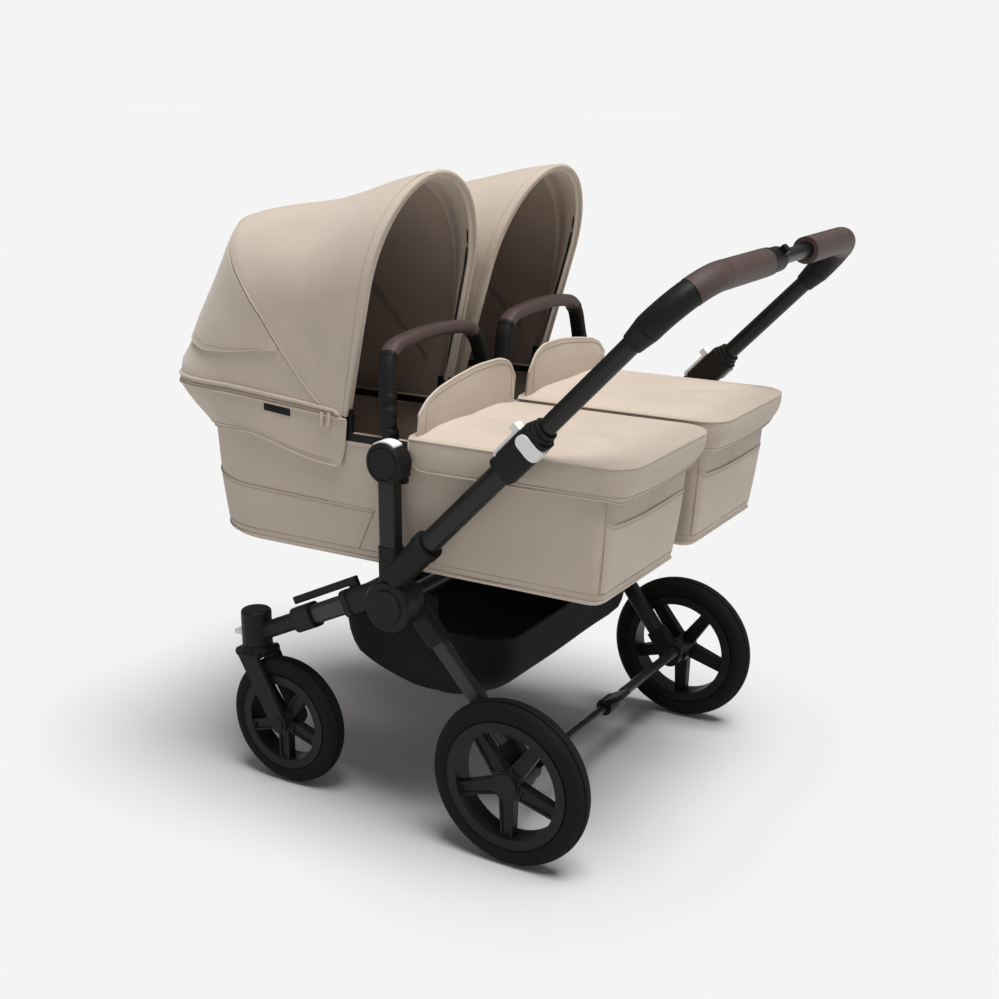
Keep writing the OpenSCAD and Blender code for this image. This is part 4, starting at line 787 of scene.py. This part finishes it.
def build_tub(side):
    name = NAMES[side]
    body = "bassinet_" + name
    rings = []
    for a in np.radians(np.linspace(0, 90, 6)):
        z = TUB_Z + EDGE_ROUND * (1 - math.cos(a))
        rings.append(tub_ring(z, EDGE_ROUND * (1 - math.sin(a))))
    rings += [wall_ring(z) for z in np.linspace(TUB_Z + EDGE_ROUND, RIM_Z, 14)[1:]]
    top = len(rings)
    rings += [tub_ring(z, WALL_T) for z in np.linspace(RIM_Z, TUB_Z + 20, 9)]
    rings.append(tub_ring(TUB_Z + 6, 14.0))
    wall = np.array([placed(r, side) for r in rings])
    level = np.arange(len(rings))
    ripple = wave(np.arange(wall.shape[1])[None, :] / 7.0, level[:, None] / 3.0, 2.0 + side)
    fade = np.clip(np.minimum(level, top - 1 - level) / 4.0, 0, 1)
    way = wall - wall.mean(axis=1, keepdims=True)
    way[..., 2] = 0
    wall += unit(way) * (WALL_RIPPLE * ripple * fade[:, None])[..., None]
    tub = sleeve("tub_" + name, list(wall), [CLOTH, LINING], np.where(level[:-1] < top, 0, 1))
    on(tub, body, "cloth_beige", "bassinet_tub_" + name)
    extras = []
    rope, sheet = sewing(side, body, extras)

    over, under = [], []
    for z, d in LIP:
        over.append(rim_ring(z, d))
        under.append(rim_ring(z - LIP_T, d) if d < LIP_INSIDE else rim_ring(z, d - LIP_WALL))
    sheet("tub_lip", over, under, LINING)
    rope("tub_piping", tub_ring(TUB_Z + 11, -0.3), PIPING, closed=True)
    rope("tub_base_seam", tub_ring(TUB_Z + 24, -0.5), SEAM, closed=True)
    rope("tub_top_seam", tub_ring(RIM_Z - 7, -0.5), SEAM, closed=True)

    # Seams down the foot corners.
    levels = np.linspace(TUB_Z + 24, RIM_Z - 8, 14)
    corner = np.array([wall_point(CORNER_PLACE, z, 0.3) for z in levels])
    for label, x_side in (("out", 1), ("in", -1)):
        rope("corner_seam_" + label, corner * [x_side, 1, 1], SEAM)

    # A flat pocket on the outer wall, from the post round the head.
    near = np.arange(*POST_PLACES)
    first = np.interp(POCKET_REAR, -tub_ring(RIM_Z - 100)[near, 1], near)
    places = []
    for at in np.linspace(first, POCKET_HEAD, 41):
        f = (at - first) / (POCKET_HEAD - first)
        gape = POCKET_GAPE * math.sin(math.pi * min(max(f, 0.03), 0.97))
        places.append((at, POCKET_LEAN * max(1 - f * 5, 0), POCKET_HEM + POCKET_RISE * f, gape, 1))
    cover, under = pocket_skins(places)
    sheet("side_pocket", cover, under, CLOTH)
    way = unit(cover[0] - under[0])
    rope("pocket_hem", cover[0] + way * 0.1, CLOTH)
    rope("pocket_stitch", cover[0] * 0.55 + cover[1] * 0.45 + way * 0.2, SEAM)
    rope("pocket_edge", cover[:, 0] + way[0] * 0.2, SEAM)

    # A flat pocket on the foot wall, from corner to corner.
    places = []
    for x in np.linspace(-1, 1, 31):
        hem = FOOT_HEM + FOOT_HEM_OUT * max(x * side, 0) ** 2 + FOOT_HEM_IN * max(-x * side, 0) ** 2
        gape = FOOT_GAPE * math.cos(x * math.pi / 2)
        places.append((abs(x) * FOOT_POCKET_END, 0, hem, gape, 1 if x > 0 else -1))
    cover, under = pocket_skins(places)
    sheet("foot_pocket", cover, under, CLOTH)
    rope("foot_hem", cover[0] + [0, 0.1, 0], CLOTH)
    rope("foot_stitch", cover[0] * 0.55 + cover[1] * 0.45 + [0, 0.2, 0], SEAM)


def build_mattress(side):
    name = NAMES[side]
    rings = [placed(tub_ring(MATTRESS_Z + z, inset), side) for z, inset in MATTRESS]
    pad = sleeve("mattress_" + name, rings, [COTTON])
    on(pad, "bassinet_" + name, "mattress_white", "mattress_" + name)
    z, inset = MATTRESS_SEAM
    path = placed(tub_ring(MATTRESS_Z + z, inset), side)
    seam = sweep("mattress_seam_" + name, path, 1.4, 1.4, COTTON, 6, closed=True)
    on(seam, "bassinet_" + name, "mattress_white")


# Foot covers


def build_apron(side):
    name = NAMES[side]
    body = "bassinet_" + name
    w, foot = RIM_W + APRON_OUT, RIM_FOOT + APRON_OUT + APRON_FOOT
    base = plan(w, RIM_HEAD, foot, APRON_CORNER)
    count = int(np.sum((base[:100, 0] >= 0) & (base[:100, 1] > APRON_Y + 2)))

    def outline(tuck):
        """The cover's edge from one front corner round the foot to the other."""
        right = plan(w, RIM_HEAD, foot - tuck, APRON_CORNER - 0.8 * tuck)[:count]
        right = np.concatenate([right, [[w, APRON_Y]]])
        return np.concatenate([right[::-1], right[1:] * [-1, 1]])

    line = outline(0)
    x, y = line[:, 0], line[:, 1]
    top = HOOP_Z + APRON_TOP
    near = np.clip(HEM_CORNER - (y - APRON_Y), 0, HEM_CORNER)
    lows = APRON_HEM + HEM_CORNER - np.sqrt(HEM_CORNER ** 2 - near ** 2)
    lows -= HEM_DIP * share(y, DIP_Y, DIP_Y + DIP_FADE) * (1 - (x / w) ** 2)
    waves = wave(np.arange(len(line)) / 6.0, np.zeros(len(line)), 1.5 + side)
    rows = []
    for f in np.linspace(0, 1, 8):
        edge = outline(APRON_TUCK * (1 - f) ** TUCK_POWER)
        swell = APRON_SWELL * math.sin(math.pi * f) + APRON_WAVE * waves * (1 - f)
        wide = edge[:, 0] * (1 + swell / w)
        deep = edge[:, 1] + swell * (y > FOOT_WALL_Y)
        rows.append(np.stack([wide, deep, lows + (top - APRON_ROUND - lows) * f], axis=1))
    middle = np.stack([np.zeros(len(line)), np.minimum(y, foot - w)], axis=1)
    inward = middle - line
    inward /= np.maximum(np.linalg.norm(inward, axis=1), 1e-3)[:, None]
    for a in np.radians(np.linspace(15, 90, 6)):
        edge = line + inward * APRON_ROUND * (1 - math.cos(a))
        rows.append(at_height(edge, top - APRON_ROUND + APRON_ROUND * math.sin(a)))
    rounded = line + inward * APRON_ROUND
    for f in np.linspace(0, 1, 15)[1:]:
        p = rounded + (middle - rounded) * f
        dish = APRON_CROWN * ease(share(f * 2.4, 0, 1)) - APRON_DISH * share(f, 0.45, 1) ** 2
        soft = APRON_SOFT * wave(p[:, 0] / 45, p[:, 1] / 45, side) * f
        rows.append(np.concatenate([p, (top + dish + soft)[:, None]], axis=1))
    outer = np.array(rows)
    grid = placed(outer, side)
    push = normals(grid)
    centre = grid.reshape(-1, 3).mean(axis=0)
    push *= np.sign(np.sum(push * (grid - centre), axis=2).mean())
    apron = shell("apron_" + name, grid, grid - push * APRON_T, [CLOTH, LINING], lambda row: 1)
    on(apron, body, "cloth_beige", "apron_" + name)
    extras = []
    rope = sewing(side, body, extras)[0]

    rope("apron_piping", outer[9], PIPING)
    rope("apron_hem", outer[0], PIPING)
    off_foot = np.where(outer[1][:, 1:2] > FOOT_WALL_Y, 0.4, 0) * [0, 1, 0]
    rope("apron_stitch", outward(outer[1], 0.4) + off_foot, SEAM)
    rope("apron_front", np.concatenate([outer[:, 0], outer[::-1, -1]]), PIPING)
    build_flap(side)


def build_flap(side):
    """The padded wind flap that stands at the foot cover's front edge."""
    name = NAMES[side]
    body = "bassinet_" + name
    xs = np.linspace(-FLAP_W, FLAP_W, 41)
    crest = np.interp(xs, FLAP_X, FLAP_H)
    kernel = np.array([1, 2, 3, 2, 1]) / 9
    crest = np.convolve(np.pad(crest, 2, mode="edge"), kernel, mode="valid")
    lean = math.tan(math.radians(FLAP_LEAN))
    edge = np.clip((FLAP_W - np.abs(xs)) / 14, 0.25, 1) ** 0.5
    front, back = [], []
    for f in np.linspace(0, 1, 13):
        up = crest * f + FLAP_FOOT
        plump = FLAP_T / 2 * (0.35 + 0.65 * math.sin(math.pi * min(0.25 + f * 0.72, 1))) * edge
        bow = -FLAP_BOW * (1 - (xs / FLAP_W) ** 2) * f * 0.5
        bow += FLAP_WAVE * wave(xs / 50, np.full(len(xs), f * 2), 4 + side) * f
        y = FLAP_Y + up * lean + bow
        front.append(np.stack([xs, y - plump, FLAP_Z + up], axis=1))
        back.append(np.stack([xs, y + plump, FLAP_Z + up], axis=1))
    front, back = np.array(front), np.array(back)
    flap = shell("wind_flap_" + name, placed(front, side), placed(back, side), [CLOTH], crease=80)
    on(flap, body, "cloth_beige")
    half = (front + back) / 2
    rim = np.concatenate([half[:, 0], half[-1, 1:-1], half[::-1, -1]])
    on(sweep("flap_piping_" + name, placed(rim, side), 2.4, 2.4, PIPING, 8), body, "cloth_beige")
    inset = np.concatenate([back[2:11, 2], back[11, 3:-3], back[10:1:-1, -3]]) + [0, 0.3, 0]
    on(sweep("flap_seam_" + name, placed(inset, side), 0.6, 0.6, SEAM, 6), body, "cloth_beige")


# Carry handles


def carry_path():
    """The handle's middle line in its own plane: two legs, two bends and a slightly arched top."""
    tilt, top_a = math.radians(CARRY_TILT), math.radians(CARRY_TOP_A)
    bend_x = CARRY_X - CARRY_LEG * math.sin(tilt) - CARRY_BEND_R * math.cos(tilt)
    bend_z = CARRY_LEG * math.cos(tilt) - CARRY_BEND_R * math.sin(tilt)
    top_r = bend_x / math.sin(top_a) + CARRY_BEND_R
    top_z = bend_z - (top_r - CARRY_BEND_R) * math.cos(top_a)
    points = []
    for s in np.linspace(CARRY_ROOT, CARRY_LEG, 13)[:-1]:
        points.append((CARRY_X - s * math.sin(tilt), 0, s * math.cos(tilt)))
    for t in np.linspace(tilt, math.pi / 2 - top_a, 17)[:-1]:
        points.append((bend_x + CARRY_BEND_R * math.cos(t), 0, bend_z + CARRY_BEND_R * math.sin(t)))
    for t in np.linspace(math.pi / 2 - top_a, math.pi / 2, 13):
        points.append((top_r * math.cos(t), 0, top_z + top_r * math.sin(t)))
    half = np.array(points)
    return np.concatenate([half, half[-2::-1] * [-1, 1, 1]])


def build_carry(side):
    name = NAMES[side]
    path = carry_path()
    lean = math.radians(LEAN[side])

    def bar(label, points, width, depth, material, sides=24, corner=0.72):
        q = np.array(points, float)
        z = q[:, 2].copy()
        q[:, 1] = -z * math.sin(lean) - CARRY_Y
        q[:, 2] = CARRY_PIN_Z + z * math.cos(lean)
        line, up = placed(q, side), (0, 1, 0)
        piece = sweep(label + "_" + name, line, width, depth, material, sides, up, corner=corner)
        return on(piece, "carry_handle_" + name, "grip_leather")

    def sleeve_over(label, points, over, material):
        return bar(label, points, CARRY_W + over, CARRY_D + over, material)

    core = sleeve_over("carry_core", path, 0, SOFT_BLACK)
    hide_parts("carry_handle_" + name)
    sleeve_over("carry_leather", path[LEATHER_END:-LEATHER_END], LEATHER_T, LEATHER)
    near = [(k, RING_T) for k in RING_PLACES] + [(LEATHER_END, LEATHER_RING_T)]
    for k, over in near + [(len(path) - 1 - k, over) for k, over in near[::-1]]:
        sleeve_over("carry_ring_%d" % k, path[k - 1:k + 2], over, SOFT_BLACK)
    for label, x_side in (("out", 1), ("in", -1)):
        xs = x_side * (CARRY_X + np.linspace(-EYE_L / 2, EYE_L / 2, 5))
        eye = np.stack([xs, np.zeros(5), np.zeros(5)], axis=1)
        bar("carry_eye_" + label, eye, EYE_R, EYE_R, SOFT_BLACK, 28, 1.0)
    inner = path[LEATHER_END + 1:-LEATHER_END - 1]
    along = unit(np.gradient(inner, axis=0))
    inward = np.stack([along[:, 2], np.zeros(len(inner)), -along[:, 0]], axis=1)
    if inward[len(inner) // 2][2] > 0:
        inward = -inward
    bar("carry_stitch", inner + inward * STITCH_IN, 0.9, 0.9, THREAD, 6, 1.0)


# Basket


def basket_ring(z, share_w, share_l, n=13):
    """A round-cornered rectangle at a height."""
    half_w = BASKET_W * share_w
    half_l = (BASKET_FRONT + BASKET_REAR) / 2 * share_l
    r = min(BASKET_CORNER, half_l * 0.9)
    middle = (BASKET_REAR - BASKET_FRONT) / 2
    corners = []
    for cx, cy, start in ((1, 1, 0), (-1, 1, 90), (-1, -1, 180), (1, -1, 270)):
        turn = np.radians(np.linspace(start, start + 90, n))
        x = cx * (half_w - r) + r * np.cos(turn)
        y = middle + cy * (half_l - r) + r * np.sin(turn)
        corners.append(at_height(np.stack([x, y], axis=1), float(z)))
    out = []
    for here, there in zip(corners, corners[1:] + corners[:1]):
        out.append(here)
        out.append(here[-1] + np.outer(np.linspace(0, 1, 16)[1:-1], there[0] - here[-1]))
    return np.concatenate(out)


def build_basket():
    outer = []
    for z, share_w, share_l in BASKET:
        ring = basket_ring(z, share_w, share_l)
        turn = np.arange(len(ring)) * 2 * math.pi / len(ring)
        deep = (BASKET_TOP - z) / BASKET_DEEP
        ring[:, 2] += 2.2 * np.sin(turn * 9 + 1) * deep * (1 - deep) * 2
        ring[:, :2] *= (1 + 0.006 * np.sin(turn * 7 + z / 30.0) * min(deep * 3, 1))[:, None]
        outer.append(ring)
    inner = [r * BASKET_SHRINK + [0, 0, BASKET_T if i else 0] for i, r in enumerate(outer)]
    basket = sleeve("basket_cloth", outer[::-1] + inner, [MESH])
    on(basket, "chassis", "basket_cloth", "basket")
    hem = sweep("basket_hem", basket_ring(BASKET_TOP - 1, 1.0, 1.0), 3.2, 3.2, MESH, 8, closed=True)
    extras = [on(hem, "chassis", "basket_cloth")]
    across, along = np.linspace(-STRAP_HALF, STRAP_HALF, 7), np.linspace(STRAP_LOW, STRAP_HIGH, 10)
    y, z = np.meshgrid(across, along)
    for x_side in (1, -1):
        strap = np.stack([x_side * (BASKET_W - STRAP_IN + 0.8 * np.sin(z / 9)), y, z], axis=2)
        half = np.array([x_side * STRAP_T, 0, 0])
        piece = shell("basket_strap_%s" % NAMES[x_side], strap + half, strap - half, [MESH])
        extras.append(on(piece, "chassis", "basket_cloth"))


for way in NAMES:
    build_hood(way)
    build_tub(way)
    build_mattress(way)
    build_apron(way)
    build_carry(way)
build_basket()


# Floor, light and camera, in metres

FLOOR_HALF, FLOOR_GREY, WALL_GREY, SKY = 40.0, 0.598, 0.896, 0.22
SUN_STRENGTH, SUN_ANGLE, SUN_WAY = 4.2, 36, (-0.04, -0.24, -1.0)
CAMERA_AT, CAMERA_YAW, CAMERA_PITCH, CAMERA_LENS = (2.212, 1.3145, 1.2709), 3.680, -0.287, 52.268


def aimed(name, data, way):
    """An object of the scene that looks or shines along a direction."""
    thing = bpy.data.objects.new(name, data)
    thing.rotation_mode = "QUATERNION"
    thing.rotation_quaternion = Vector(way).to_track_quat("-Z", "Y")
    bpy.context.scene.collection.objects.link(thing)
    return thing


ground = bpy.data.meshes.new("floor")
corners = [(x * FLOOR_HALF, y * FLOOR_HALF, 0) for x, y in ((-1, -1), (1, -1), (1, 1), (-1, 1))]
ground.from_pydata(corners, [], [(0, 1, 2, 3)])
floor = bpy.data.objects.new("floor", ground)
bpy.context.scene.collection.objects.link(floor)
ground.materials.append(paint("floor_paint", (FLOOR_GREY,) * 3, 0.9, gloss=0.0)[0])

world = bpy.data.worlds.new("studio")
bpy.context.scene.world = world
world.use_nodes = True
tree = world.node_tree
tree.nodes.clear()
seen = add(tree, "ShaderNodeLightPath").outputs["Is Camera Ray"]
sky = add(tree, "ShaderNodeBackground", {"Color": (1, 1, 1, 1), "Strength": SKY}).outputs[0]
wall = add(tree, "ShaderNodeBackground", {"Color": (WALL_GREY, WALL_GREY, WALL_GREY, 1)}).outputs[0]
both = add(tree, "ShaderNodeMixShader", {0: seen, 1: sky, 2: wall}).outputs[0]
add(tree, "ShaderNodeOutputWorld", {"Surface": both})

key = bpy.data.lights.new("key", "SUN")
key.energy = SUN_STRENGTH
key.angle = math.radians(SUN_ANGLE)
aimed("key", key, SUN_WAY)

lens = bpy.data.cameras.new("camera")
lens.lens = CAMERA_LENS
lens.sensor_width = 36.0
lens.clip_end = 200.0
flat = math.cos(CAMERA_PITCH)
look = (flat * math.cos(CAMERA_YAW), flat * math.sin(CAMERA_YAW), math.sin(CAMERA_PITCH))
camera = aimed("camera", lens, look)
camera.location = CAMERA_AT
bpy.context.scene.camera = camera
bpy.context.scene.view_settings.view_transform = "Standard"
